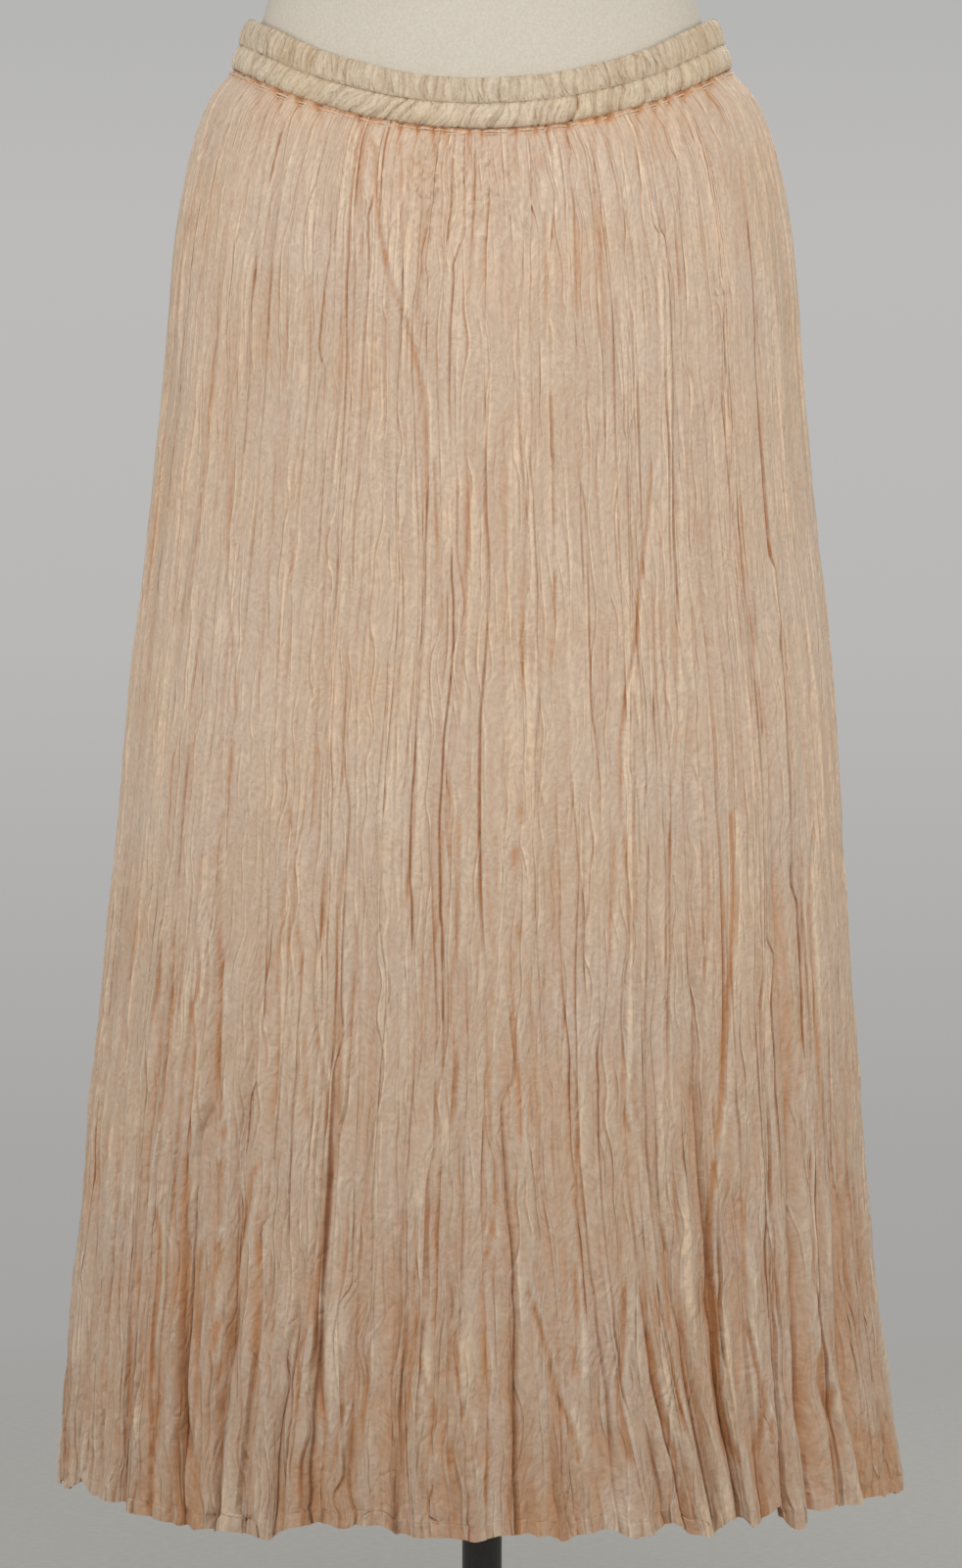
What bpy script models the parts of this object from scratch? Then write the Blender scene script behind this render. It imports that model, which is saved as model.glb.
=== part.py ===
"""A crinkle-pleated skirt with an elastic casing waistband, on a limbless dress form and its stand.

Metres, +Z up. The floor is z = 0 and the pole stands on the Z axis. The front faces -Y.
Angles run round the body from the centre front: 0 is the front, 90 the wearer's left side at +X.
"""

import math

import bmesh
import bpy
import numpy as np

MM = 0.001
SEAM_GAP = 0.3 * MM  # between pieces that are sewn or rest on each other
SEED = 7

# Stand
POLE_RADIUS = 11.5 * MM
POLE_SIDES = 24
BASE_RADIUS = 170 * MM
BASE_EDGE = 10 * MM
BOSS_RADIUS = 26 * MM
BOSS_TOP = 34 * MM
TURNED_STEPS = 48

# Dress form: each row is one level section, an oval with its own depth at the front and the back
FORM_COLUMNS = ("z_mm", "half_width_mm", "front_mm", "back_mm")
FORM_SECTIONS = (
    (700.0, 122, 82, 88),
    (705.0, 140, 96, 104),
    (720.0, 153, 104, 115),
    (760.0, 163, 110, 123),
    (820.0, 171, 114, 128),
    (870.0, 172, 115, 128),
    (920.0, 167, 113, 122),
    (960.0, 159, 108, 114),
    (985.0, 151, 103.5, 107),
    (1004.5, 145.5, 100.8, 102),
    (1023.5, 140, 98, 98),
    (1052.0, 127, 93, 92),
    (1095.0, 117, 87, 82),
    (1130.0, 121, 90, 84),
    (1170.0, 131, 99, 88),
    (1215.0, 142, 113, 95),
    (1250.0, 147, 121, 99),
    (1290.0, 151, 115, 103),
    (1335.0, 160, 97, 104),
    (1375.0, 171, 81, 96),
    (1403.0, 176, 69, 83),
    (1420.0, 168, 62, 73),
    (1434.0, 138, 57, 66),
    (1445.0, 96, 53, 59),
    (1456.0, 66, 50, 53),
    (1475.0, 55, 48, 50),
    (1500.0, 53, 47, 49),
)
FORM_STEPS = 36
CAP_RADII = (46 * MM, 51 * MM)
CAP_HEIGHT = 9 * MM

# Waistband: an elastic casing with two channels
BAND_HEIGHT = 29 * MM
SEAM_FRONT_Z = 985 * MM  # lower edge of the band at the centre front
SIDE_RISE = 39 * MM  # the band sits this much higher at the sides
BACK_DIP = 6 * MM
BAND_CLEARANCE = 0.5 * MM  # from the form, along the band's lower edge
BAND_EASE = 5 * MM  # how far the upper edge stands off the form at the sides
GATHERS = 40  # in each half of the band
GATHER_DEPTH = 0.8 * MM
SKIRT_UNDER_BAND = 4.2 * MM  # from the form to the cloth, where it is sewn to the band's lower edge
BAND_PROFILE_COLUMNS = ("out_mm", "share_of_height")
BAND_PROFILE = (
    (0.0, 0.0),
    (3.6, 0.02),
    (5.4, 0.24),
    (3.9, 0.48),
    (5.2, 0.74),
    (3.3, 0.98),
    (0.0, 1.0),
)

# Skirt panels: each row is one ring of the finished outline, from the waist seam (0) to the hem (1)
SKIRT_COLUMNS = ("share_of_length", "half_width_mm", "front_mm", "back_mm", "pleat_depth_mm")
SKIRT_SECTIONS = (
    (0.000, 144, 107, 101, 1.2),
    (0.020, 158, 117, 114, 2.6),
    (0.060, 170, 126, 127, 3.6),
    (0.130, 180, 134, 140, 3.6),
    (0.210, 185, 138, 147, 3.8),
    (0.320, 194, 144, 152, 4.4),
    (0.440, 205, 151, 157, 5.2),
    (0.570, 213, 158, 162, 6.2),
    (0.700, 222, 167, 169, 7.4),
    (0.820, 231, 176, 177, 8.8),
    (0.920, 239, 184, 184, 10.0),
    (1.000, 246, 190, 190, 11.0),
)
HEM_SIDE_Z = 199 * MM
HEM_FRONT_DROP = 8 * MM
HEM_BACK_DROP = 4 * MM
HEM_WAVE = 3.5 * MM
PLEATS = 60  # in each panel
PLEAT_WANDER = 0.30  # of a pleat's width
WANDER_WAVES = (1.0, 2.3)  # over the length of the skirt
PLEAT_UNEVENNESS = 0.45  # of a pleat's depth
RIDGE_SHARE = 0.25  # how far a ridge sinks below the outline, of its pleat's depth
CLOTH_WALL = 1.2 * MM  # square to the pleat's side
WALL_LIMITS = (1.4 * MM, 2.9 * MM)  # measured straight out from the body

# The largest folds: troughs that start at a share of the length and deepen to the hem
FOLD_COLUMNS = ("angle_deg", "start", "half_width_deg", "depth_mm")
FRONT_FOLDS = (
    (-74, 0.45, 5.0, 11),
    (-56, 0.35, 4.5, 9),
    (-43.5, 0.30, 4.0, 15),
    (-37.0, 0.40, 3.0, 11),
    (-21.5, 0.55, 4.5, 10),
    (-9.0, 0.70, 4.0, 7),
    (2.0, 0.40, 4.5, 8),
    (14.0, 0.72, 5.0, 9),
    (26.0, 0.75, 4.0, 10),
    (35.5, 0.35, 4.0, 14),
    (53.0, 0.35, 4.5, 13),
    (68.0, 0.50, 5.0, 10),
)
BACK_FOLDS = (
    (104, 0.50, 5.0, 9),
    (119, 0.35, 4.5, 13),
    (135, 0.60, 4.0, 9),
    (147, 0.40, 4.5, 13),
    (163, 0.65, 5.0, 8),
    (176, 0.35, 4.5, 12),
    (191, 0.60, 4.0, 9),
    (204, 0.30, 4.5, 14),
    (221, 0.70, 4.5, 8),
    (235, 0.40, 4.5, 12),
    (252, 0.50, 5.0, 10),
)

IVORY_JERSEY = (0.55, 0.49, 0.41, 1.0)
PEACH_SILK = (0.60, 0.43, 0.30, 1.0)
CREAM_SILK = (0.62, 0.50, 0.35, 1.0)
DARK_STEEL = (0.05, 0.05, 0.05, 1.0)
PALE_PLASTIC = (0.60, 0.56, 0.50, 1.0)


def clear_scene():
    for old in list(bpy.data.objects):
        bpy.data.objects.remove(old, do_unlink=True)


def make_material(name, colour, roughness, metallic=0.0):
    material = bpy.data.materials.new(name)
    material.use_nodes = True
    shader = material.node_tree.nodes["Principled BSDF"]
    shader.inputs["Base Color"].default_value = colour
    shader.inputs["Roughness"].default_value = roughness
    shader.inputs["Metallic"].default_value = metallic
    return material


def add_object(name, mesh, material, collection):
    obj = bpy.data.objects.new(name, mesh)
    mesh.materials.append(material)
    collection.objects.link(obj)
    return obj


def loft(name, rings, material, collection, round_ring=False):
    """A closed body through rings of points, each joined to the next, with a face over both ends."""
    bm = bmesh.new()
    rows = [[bm.verts.new(point) for point in ring] for ring in rings]
    for row, following in zip(rows, rows[1:]):
        for i in range(len(row)):
            j = (i + 1) % len(row)
            bm.faces.new((row[i], row[j], following[j], following[i]))
    bm.faces.new(rows[0][::-1])
    bm.faces.new(rows[-1])
    bmesh.ops.recalc_face_normals(bm, faces=bm.faces)
    mesh = bpy.data.meshes.new(name)
    bm.to_mesh(mesh)
    bm.free()
    if round_ring:
        mesh.shade_smooth()
        mesh.set_sharp_from_angle(angle=math.radians(40))
    return add_object(name, mesh, material, collection)


def turned(name, profile, material, collection):
    """A round piece: a profile in the XZ plane, top to bottom on its outer side, spun round the Z axis."""
    mesh = bpy.data.meshes.new(name)
    mesh.from_pydata([(x, 0, z) for x, z in profile], [(i, i + 1) for i in range(len(profile) - 1)], [])
    obj = add_object(name, mesh, material, collection)
    screw = obj.modifiers.new("Turn", "SCREW")
    screw.steps = TURNED_STEPS
    screw.render_steps = TURNED_STEPS
    screw.use_merge_vertices = True
    screw.merge_threshold = 0.0001
    screw.use_smooth_shade = True
    return obj


def smoothstep(low, high, value):
    share = np.clip((value - low) / (high - low), 0, 1)
    return share * share * (3 - 2 * share)


def oval(half_width, front, back, angle):
    """The point at an angle on an oval round the Z axis, and its outward direction."""
    depth = front if math.cos(angle) > 0 else back
    out = np.array((depth * math.sin(angle), -half_width * math.cos(angle)))
    return np.array((half_width * math.sin(angle), -depth * math.cos(angle))), out / np.linalg.norm(out)


def form_outline(z, angle):
    table = np.array(FORM_SECTIONS) * MM
    sizes = [np.interp(z, table[:, 0], table[:, column]) for column in (1, 2, 3)]
    return oval(*sizes, angle)


def seam_height(angle):
    """The waist seam dips at the centre front and runs nearly level round the back."""
    sides = math.sin(angle) ** 2
    if math.cos(angle) > 0:
        return SEAM_FRONT_Z + SIDE_RISE * sides
    return SEAM_FRONT_Z + SIDE_RISE - BACK_DIP * (1 - sides)


def hem_height(angle):
    drop = HEM_FRONT_DROP if math.cos(angle) > 0 else HEM_BACK_DROP
    return HEM_SIDE_Z - drop * math.cos(angle) ** 2


def half_turn(depth):
    """A quarter turn, less what leaves half a seam gap at a side seam where the oval is this deep."""
    return math.pi / 2 - SEAM_GAP / 2 / abs(depth)


def dress_form(material, collection):
    rings = []
    for z, half_width, front, back in FORM_SECTIONS:
        angles = np.linspace(0, 2 * math.pi, FORM_STEPS, endpoint=False)
        points = [oval(half_width * MM, front * MM, back * MM, angle)[0] for angle in angles]
        rings.append([(x, y, z * MM) for x, y in points])
    return loft("dress_form", rings, material, collection, round_ring=True)


def neck_cap(material, collection):
    foot = FORM_SECTIONS[-1][0] * MM + SEAM_GAP
    small, large = CAP_RADII
    profile = (
        (0, foot + CAP_HEIGHT),
        (small, foot + CAP_HEIGHT),
        (large, foot + CAP_HEIGHT * 0.6),
        (large, foot + CAP_HEIGHT * 0.2),
        (small, foot),
        (0, foot),
    )
    return turned("form_neck_cap", profile, material, collection)


def pole(material, collection):
    low = BOSS_TOP + SEAM_GAP
    high = FORM_SECTIONS[0][0] * MM - SEAM_GAP
    bpy.ops.mesh.primitive_cylinder_add(
        vertices=POLE_SIDES, radius=POLE_RADIUS, depth=high - low, location=(0, 0, (low + high) / 2)
    )
    obj = bpy.context.object
    obj.name = "stand_pole"
    obj.data.materials.append(material)
    obj.data.shade_smooth()
    obj.data.set_sharp_from_angle(angle=math.radians(40))
    for owner in list(obj.users_collection):
        owner.objects.unlink(obj)
    collection.objects.link(obj)
    return obj


def base(material, collection):
    profile = (
        (0, BOSS_TOP),
        (BOSS_RADIUS * 0.85, BOSS_TOP),
        (BOSS_RADIUS, BOSS_TOP * 0.9),
        (BOSS_RADIUS * 1.15, BOSS_TOP * 0.62),
        (BOSS_RADIUS * 1.7, BOSS_TOP * 0.5),
        (BASE_RADIUS * 0.97, BASE_EDGE * 1.1),
        (BASE_RADIUS, BASE_EDGE * 0.7),
        (BASE_RADIUS, 0),
        (0, 0),
    )
    return turned("stand_base", profile, material, collection)


def waistband(name, centre, material, collection):
    """Half of the casing: its profile swept round the form, pushed out and in at each gather."""
    random = np.random.default_rng(SEED + round(centre))
    reach = half_turn(form_outline(seam_height(math.pi / 2), 0)[0][1])
    rings = []
    for i, angle in enumerate(np.linspace(centre - reach, centre + reach, 2 * GATHERS + 1)):
        seam = seam_height(angle) + SEAM_GAP
        foot, out = form_outline(seam, angle)
        foot = foot + out * BAND_CLEARANCE
        top, _ = form_outline(seam + BAND_HEIGHT, angle)
        top = top + out * (BAND_CLEARANCE + BAND_EASE * math.sin(angle) ** 4)
        side = 1 if i % 2 else -1
        pushed = GATHER_DEPTH * side * random.uniform(0.5, 1.0)
        ring = []
        for out_mm, share in BAND_PROFILE:
            inner = foot * (1 - share) + top * share
            distance = out_mm * MM + (pushed if out_mm else 0)
            x, y = inner + out * distance
            ring.append((x, y, seam + BAND_HEIGHT * share))
        rings.append(ring)
    return loft(name, rings, material, collection)


def pleat_columns(centre, random):
    """The panel's crease lines: where each starts, how it wanders, its depth and its step at the hem."""
    count = 2 * PLEATS + 1
    pitch = math.pi / (count - 1)
    inside = np.ones(count)
    inside[[0, -1]] = 0
    angles = np.linspace(centre - math.pi / 2, centre + math.pi / 2, count)
    angles += random.uniform(-0.25, 0.25, count) * pitch * inside
    waves = random.uniform(-1, 1, (count, 2)) * PLEAT_WANDER * pitch * inside[:, None]
    phases = random.uniform(0, 2 * math.pi, (count, 2))
    depths = 1 + random.uniform(-1, 1, count) * PLEAT_UNEVENNESS * inside
    hems = random.uniform(-1, 1, count) * HEM_WAVE * inside
    return angles, waves, phases, depths, hems


def fold_depth(folds, share, angle):
    """How far the largest folds draw the cloth in at this place."""
    depth = 0.0
    for angle_deg, begins, half_width_deg, depth_mm in folds:
        across = (math.degrees(angle) - angle_deg) / half_width_deg
        if abs(across) < 1:
            grown = smoothstep(begins, 1.0, share)
            depth += depth_mm * MM * grown * math.cos(across * math.pi / 2) ** 2
    return depth


def skirt_outline(row, angle):
    """The plan of one ring. The first ring follows the lower edge of the waistband."""
    share, half_width, front, back, _ = SKIRT_SECTIONS[row]
    if share == 0:
        point, out = form_outline(seam_height(angle), angle)
        return point + out * SKIRT_UNDER_BAND, out
    return oval(half_width * MM, front * MM, back * MM, angle)


def skirt_panel(name, centre, folds, material, collection):
    """Half of the skirt: every crease line is one ring of points, down the outside and up the inside."""
    random = np.random.default_rng(SEED + 10 + round(centre))
    starts, waves, phases, depths, hems = pleat_columns(centre, random)
    grid = np.zeros((len(starts), len(SKIRT_SECTIONS), 3))
    outwards = np.zeros((len(starts), len(SKIRT_SECTIONS), 2))
    for i, start in enumerate(starts):
        is_valley = i % 2 == 0
        for row, (share, _, front, _, pleat_depth) in enumerate(SKIRT_SECTIONS):
            wander = waves[i] @ np.sin(2 * math.pi * np.array(WANDER_WAVES) * share + phases[i])
            reach = half_turn(front * MM)
            angle = np.clip(start + wander * share, centre - reach, centre + reach)
            plan, out = skirt_outline(row, angle)
            inward = pleat_depth * MM * depths[i] * (1 if is_valley else RIDGE_SHARE)
            inward += fold_depth(folds, share, angle)
            seam = seam_height(angle)
            hem = hem_height(angle) + hems[i]
            grid[i, row, :2] = plan - out * inward
            grid[i, row, 2] = seam + (hem - seam) * share
            outwards[i, row] = out
    walls = wall_depths(grid, outwards)
    rings = []
    for i in range(len(starts)):
        outer = [tuple(point) for point in grid[i]]
        inner = [
            (x - outwards[i, row, 0] * walls[i, row], y - outwards[i, row, 1] * walls[i, row], z)
            for row, (x, y, z) in enumerate(grid[i])
        ]
        rings.append(outer + inner[::-1])
    return loft(name, rings, material, collection)


def wall_depths(grid, outwards):
    """The wall measured straight out, deeper where a pleat's side is steep, so the cloth stays as thick."""
    steepest = np.zeros(grid.shape[:2])
    step = np.diff(grid[:, :, :2], axis=0)
    rise = np.abs((step * outwards[:-1]).sum(axis=2))
    along = np.sqrt(np.maximum((step**2).sum(axis=2) - rise**2, (0.5 * MM) ** 2))
    slope = rise / along
    steepest[:-1] = slope
    steepest[1:] = np.maximum(steepest[1:], slope)
    return np.clip(CLOTH_WALL * np.sqrt(1 + steepest**2), *WALL_LIMITS)


def main():
    clear_scene()
    parts = bpy.data.collections.new("pleated_skirt_on_form")
    bpy.context.scene.collection.children.link(parts)
    jersey = make_material("ivory_jersey", IVORY_JERSEY, 0.85)
    peach = make_material("peach_crinkle_silk", PEACH_SILK, 0.6)
    cream = make_material("cream_casing_silk", CREAM_SILK, 0.6)
    steel = make_material("dark_steel", DARK_STEEL, 0.4, metallic=0.8)
    plastic = make_material("pale_plastic", PALE_PLASTIC, 0.45)

    base(steel, parts)
    pole(steel, parts)
    dress_form(jersey, parts)
    neck_cap(plastic, parts)
    waistband("waistband_front", 0.0, cream, parts)
    waistband("waistband_back", math.pi, cream, parts)
    skirt_panel("skirt_front", 0.0, FRONT_FOLDS, peach, parts)
    skirt_panel("skirt_back", math.pi, BACK_FOLDS, peach, parts)


main()
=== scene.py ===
import math
import bpy
import numpy as np
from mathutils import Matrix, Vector


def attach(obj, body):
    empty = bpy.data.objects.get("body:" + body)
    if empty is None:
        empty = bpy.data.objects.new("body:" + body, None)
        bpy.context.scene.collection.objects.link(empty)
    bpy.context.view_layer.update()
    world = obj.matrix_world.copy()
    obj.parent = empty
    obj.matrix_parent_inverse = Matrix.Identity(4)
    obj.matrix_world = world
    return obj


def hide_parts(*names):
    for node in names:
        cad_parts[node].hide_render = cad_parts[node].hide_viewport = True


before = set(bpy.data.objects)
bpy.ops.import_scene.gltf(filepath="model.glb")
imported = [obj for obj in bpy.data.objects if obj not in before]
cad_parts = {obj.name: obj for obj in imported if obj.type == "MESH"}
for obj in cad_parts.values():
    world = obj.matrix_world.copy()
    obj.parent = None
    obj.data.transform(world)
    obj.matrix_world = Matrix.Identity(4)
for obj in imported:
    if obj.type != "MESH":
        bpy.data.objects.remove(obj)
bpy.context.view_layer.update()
print("frame loaded:", ", ".join(sorted(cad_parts)))

mm = 0.001

# the skirt's plan and heights, the same sizes as its solids
body = {
    "seamFrontZ": 985 * mm,  # lower edge of the waistband at the centre front
    "sideRise": 39 * mm,  # the band sits this much higher at the sides
    "backDip": 6 * mm,
    "hemSideZ": 199 * mm,
    "hemFrontDrop": 8 * mm,
    "hemBackDrop": 4 * mm,
    "underBand": 4.2 * mm,  # from the form to the cloth at the waist seam
    # share of the length, half width, depth at the front, depth at the back (mm)
    "rings": (
        (0.000, 144, 107, 101),
        (0.020, 158, 117, 114),
        (0.060, 170, 126, 127),
        (0.130, 180, 134, 140),
        (0.210, 185, 138, 147),
        (0.320, 194, 144, 152),
        (0.440, 205, 151, 157),
        (0.570, 213, 158, 162),
        (0.700, 222, 167, 169),
        (0.820, 231, 176, 177),
        (0.920, 239, 184, 184),
        (1.000, 246, 190, 190),
    ),
    # how far the whole ring hangs to the wearer's left, by share of the length (mm)
    "sway": (
        (0.0, 0), (0.06, 1.0), (0.3, 0.5), (0.45, -0.5), (0.6, -2.2), (0.75, -4.0), (0.88, -4.2), (1.0, -0.5),
    ),
    # the form's waist, by height: half width, front, back (mm)
    "waist": (
        (960.0, 159, 108, 114),
        (985.0, 151, 103.5, 107),
        (1004.5, 145.5, 100.8, 102),
        (1023.5, 140, 98, 98),
        (1052.0, 127, 93, 92),
        (1095.0, 117, 87, 82),
    ),
}


def linearColour(hexText):
    parts = [int(hexText[i : i + 2], 16) / 255 for i in (1, 3, 5)]
    return tuple(c / 12.92 if c <= 0.04045 else ((c + 0.055) / 1.055) ** 2.4 for c in parts) + (1.0,)


# Each input takes a value, a socket or a node, whose first output it is
def setInputs(tree, node, inputs):
    for name, value in inputs.items():
        if isinstance(value, bpy.types.Node):
            value = value.outputs[0]
        if isinstance(value, bpy.types.NodeSocket):
            tree.links.new(value, node.inputs[name])
        else:
            node.inputs[name].default_value = value


# One node with its settings, its inputs and its colour stops
def addNode(tree, kind, inputs=None, stops=None, **settings):
    node = tree.nodes.new("ShaderNode" + kind)
    for name, value in settings.items():
        setattr(node, name, value)
    setInputs(tree, node, inputs or {})
    if stops:
        ramp = node.color_ramp
        while len(ramp.elements) < len(stops):
            ramp.elements.new(0.5)
        for element, (position, colour) in zip(ramp.elements, stops):
            element.position = position
            element.color = linearColour(colour)
    return node


def newMaterial(name):
    material = bpy.data.materials.new(name)
    material.use_nodes = True
    tree = material.node_tree
    return material, tree, tree.nodes["Principled BSDF"]


def clearSelection():
    bpy.ops.object.select_all(action="DESELECT")


# A smooth curve through a short table that never swings past its own points
def curveThrough(x, knots, values):
    x, knots, values = (np.asarray(a, float) for a in (x, knots, values))
    step = np.diff(knots)
    slope = np.diff(values) / step
    tangent = np.zeros(len(knots))
    rising = slope[:-1] * slope[1:] > 0
    tangent[1:-1][rising] = 2 * slope[:-1][rising] * slope[1:][rising] / (slope[:-1] + slope[1:])[rising]
    tangent[0], tangent[-1] = slope[0], slope[-1]
    i = np.clip(np.searchsorted(knots, x) - 1, 0, len(step) - 1)
    f = np.clip((x - knots[i]) / step[i], 0, 1)
    return (
        values[i] * (1 + 2 * f) * (1 - f) ** 2
        + tangent[i] * step[i] * f * (1 - f) ** 2
        + values[i + 1] * f * f * (3 - 2 * f)
        - tangent[i + 1] * step[i] * f * f * (1 - f)
    )


def smoothStep(low, high, x):
    f = np.clip((x - low) / (high - low), 0, 1)
    return f * f * (3 - 2 * f)


# Random lines about zero in straight runs, one for each crease, with so many knots from top to bottom
def brokenLines(random, lines, rows, knots):
    values = np.zeros((lines, rows))
    rowNumbers = np.arange(rows)
    for line in values:
        places = np.sort(random.uniform(0, rows, knots))
        line[:] = np.interp(rowNumbers, places, random.normal(0, 0.6, knots))
    padded = np.pad(values, ((0, 0), (1, 1)), mode="edge")
    return (padded[:, :-2] + 2 * values + padded[:, 2:]) / 4


# Smooth bumps between -1 and 1 whose cells measure cellX by cellY
def crumple(x, y, cellX, cellY, seed):
    size = 128
    table = np.random.default_rng(seed).uniform(-1, 1, (size, size))
    gx, gy = x / cellX, y / cellY
    ix, iy = np.floor(gx).astype(int), np.floor(gy).astype(int)
    fx, fy = gx - ix, gy - iy
    fx, fy = fx * fx * (3 - 2 * fx), fy * fy * (3 - 2 * fy)
    a, b = table[ix % size, iy % size], table[(ix + 1) % size, iy % size]
    c, d = table[ix % size, (iy + 1) % size], table[(ix + 1) % size, (iy + 1) % size]
    return (a * (1 - fx) + b * fx) * (1 - fy) + (c * (1 - fx) + d * fx) * fy


# Waves of two lengths along a line, the second one lower
def twoWaves(x, lengths, second, seed):
    return crumple(x, x * 0, lengths[0], 1, seed) + second * crumple(x, x * 0, lengths[1], 1, seed + 1)


# Long uneven cells, lowest along their borders and highest along their middles, about zero on average
def facets(x, y, width, length, seed):
    size = 64
    table = np.random.default_rng(seed).uniform(0, 1, (size, size, 2))
    gx, gy = x / width, y / length
    ix, iy = np.floor(gx).astype(int), np.floor(gy).astype(int)
    far = 9  # farther than any cell's middle can be
    nearest, second = np.full_like(gx, far), np.full_like(gx, far)
    for cellX in (ix - 1, ix, ix + 1):
        for cellY in (iy - 1, iy, iy + 1):
            jitter = table[cellX % size, cellY % size]
            distance = np.hypot(gx - cellX - jitter[..., 0], gy - cellY - jitter[..., 1])
            second = np.minimum(second, np.maximum(nearest, distance))
            nearest = np.minimum(nearest, distance)
    return second - nearest - 0.35


# Plan points at these angles round the body, and their outward directions
def oval(halfWidth, front, back, angle):
    depth = np.where(np.cos(angle) > 0, front, back)
    x, y = halfWidth * np.sin(angle), -depth * np.cos(angle)
    outX, outY = depth * np.sin(angle), -halfWidth * np.cos(angle)
    length = np.hypot(outX, outY)
    return x, y, outX / length, outY / length


def seamHeight(angle):
    sides = np.sin(angle) ** 2
    front = body["seamFrontZ"] + body["sideRise"] * sides
    back = body["seamFrontZ"] + body["sideRise"] - body["backDip"] * (1 - sides)
    return np.where(np.cos(angle) > 0, front, back)


def hemHeight(angle):
    drop = np.where(np.cos(angle) > 0, body["hemFrontDrop"], body["hemBackDrop"])
    return body["hemSideZ"] - drop * np.cos(angle) ** 2


def formPlan(z, angle):
    table = np.array(body["waist"]) * mm
    sizes = [np.interp(z, table[:, 0], table[:, column]) for column in (1, 2, 3)]
    return oval(*sizes, angle)


# How far along a line of points each of them lies
def lengthsAlong(x, y):
    return np.concatenate(([0], np.cumsum(np.hypot(np.diff(x), np.diff(y)))))


# A sheet from the grid primitive: columns run across it and rows down it
def gridObject(name, points):
    columns, rows = points.shape[:2]
    clearSelection()
    bpy.ops.mesh.primitive_grid_add(x_subdivisions=columns - 1, y_subdivisions=rows - 1, size=1)
    obj = bpy.context.object
    obj.name = name
    obj.data.name = name
    order = points.transpose(1, 0, 2)[::-1]  # the grid counts its points row by row from its lower edge
    obj.data.vertices.foreach_set("co", np.ascontiguousarray(order, np.float32).ravel())
    obj.data.update()
    return obj


def setAttribute(obj, name, values):
    layer = obj.data.attributes.new(name, "FLOAT", "POINT")
    layer.data.foreach_set("value", np.ascontiguousarray(values.T[::-1], np.float32).ravel())


# The grid's UV map, from where each point lies on the flat cloth
def setCoordinates(obj, places):
    mesh = obj.data
    corners = np.zeros(len(mesh.loops), np.int32)
    mesh.loops.foreach_get("vertex_index", corners)
    flat = places.transpose(1, 0, 2)[::-1].reshape(-1, 2)
    mesh.uv_layers.active.data.foreach_set("uv", np.ascontiguousarray(flat[corners], np.float32).ravel())


# Turns the sheet over if its faces point to the pole
def faceOut(obj):
    mesh = obj.data
    normals = np.zeros(len(mesh.polygons) * 3, np.float32)
    centres = np.zeros(len(mesh.polygons) * 3, np.float32)
    mesh.polygons.foreach_get("normal", normals)
    mesh.polygons.foreach_get("center", centres)
    normals, centres = normals.reshape(-1, 3), centres.reshape(-1, 3)
    if (normals[:, :2] * centres[:, :2]).sum() < 0:
        mesh.flip_normals()


def sheetArea(obj):
    mesh = obj.data
    areas = np.zeros(len(mesh.polygons), np.float32)
    mesh.polygons.foreach_get("area", areas)
    return float(areas.sum())


# What a finished piece is made of, which solid it stands for, and its slot
def dressNode(piece, material, node):
    piece.data.materials.append(material)
    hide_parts(node)
    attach(piece, "root")
    print(piece.name, "area", round(sheetArea(piece), 4), "triangles", 2 * len(piece.data.polygons))


# Skirt panels

skirt = {
    "creases": 98,  # long creases that run down each panel
    "columns": 470,
    "clothRing": 7,  # the ring of the body along which the creases are spaced
    "widthSpread": 0.6,  # how uneven the cloth between them is
    "depth": 0.6,  # mm, the usual depth of a crease
    "depthSpread": 0.75,
    "deepest": 1.5,
    "wallWidth": 1.3,  # mm, from a crease to its lip
    "lip": 0.35,  # mm
    "tilt": 0.2,  # slope of the flat strips between creases
    "foldShare": 0.72,  # of the depths in the tables of folds
    "relief": ((0.0, 0.6), (0.05, 0.8), (0.3, 1.0), (0.55, 1.05), (0.75, 1.2), (0.9, 1.35), (1.0, 1.35)),
    # long narrow facets of the crinkle: width, length, height at the waist, height at the hem (mm)
    "facets": ((14, 130, 1.4, 3.4), (8, 60, 0.8, 2.1), (5, 24, 0.35, 1.3)),
    # waves that bend the facets: width, length, and how far they push sideways (mm)
    "bends": ((50, 130, 6), (20, 34, 2)),
    "lowerPart": (0.45, 0.95),  # the shares of the length between which the crinkle grows to its full height
    "hemFlare": 2.4 * mm,
    "flareWaves": (13 * mm, 7 * mm),
    "hemRuffle": 1.6 * mm,
    "ruffleWaves": (9 * mm, 5 * mm),
    "hemStitch": 0.15 * mm,
    "stitchHeight": 8.0,  # mm above the hem, one of the rows below
    "hemRows": (10.5, 9.2, 8.5, 8.0, 7.5, 6.6, 4.4, 2.2, 0.8, 0.0),  # mm above the hem
    # the turning inside the hem: height above it (mm), how far inside (mm), and beside which row from
    # the edge
    "turning": ((0.3, 0.5, 1), (4.0, 0.9, 4), (8.0, 1.0, 7)),
    "pucker": 2.4 * mm,
    # where the cloth bunches under the waist seam: half width, depth, and how far down it fades
    "bunchWidth": 1.5 * mm,
    "bunchDepth": 1.3 * mm,
    "bunchLength": 15 * mm,
    # creases as thin as the listed ones, placed at random (mm)
    "thinCreases": {
        "count": 60,
        "lengths": (50, 300),
        "heights": (230, 1000),
        "across": 215,  # to each side, at the hem
        "depths": (0.25, 0.8),
        "halfWidths": (1.3, 2.0),
    },
    "creaseEnds": (14 * mm, 6 * mm),  # over which a drawn crease fades at its lower and upper end
    "leastFacing": 0.15,  # drawn creases stop where the cloth faces the front or back less than this
}

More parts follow.
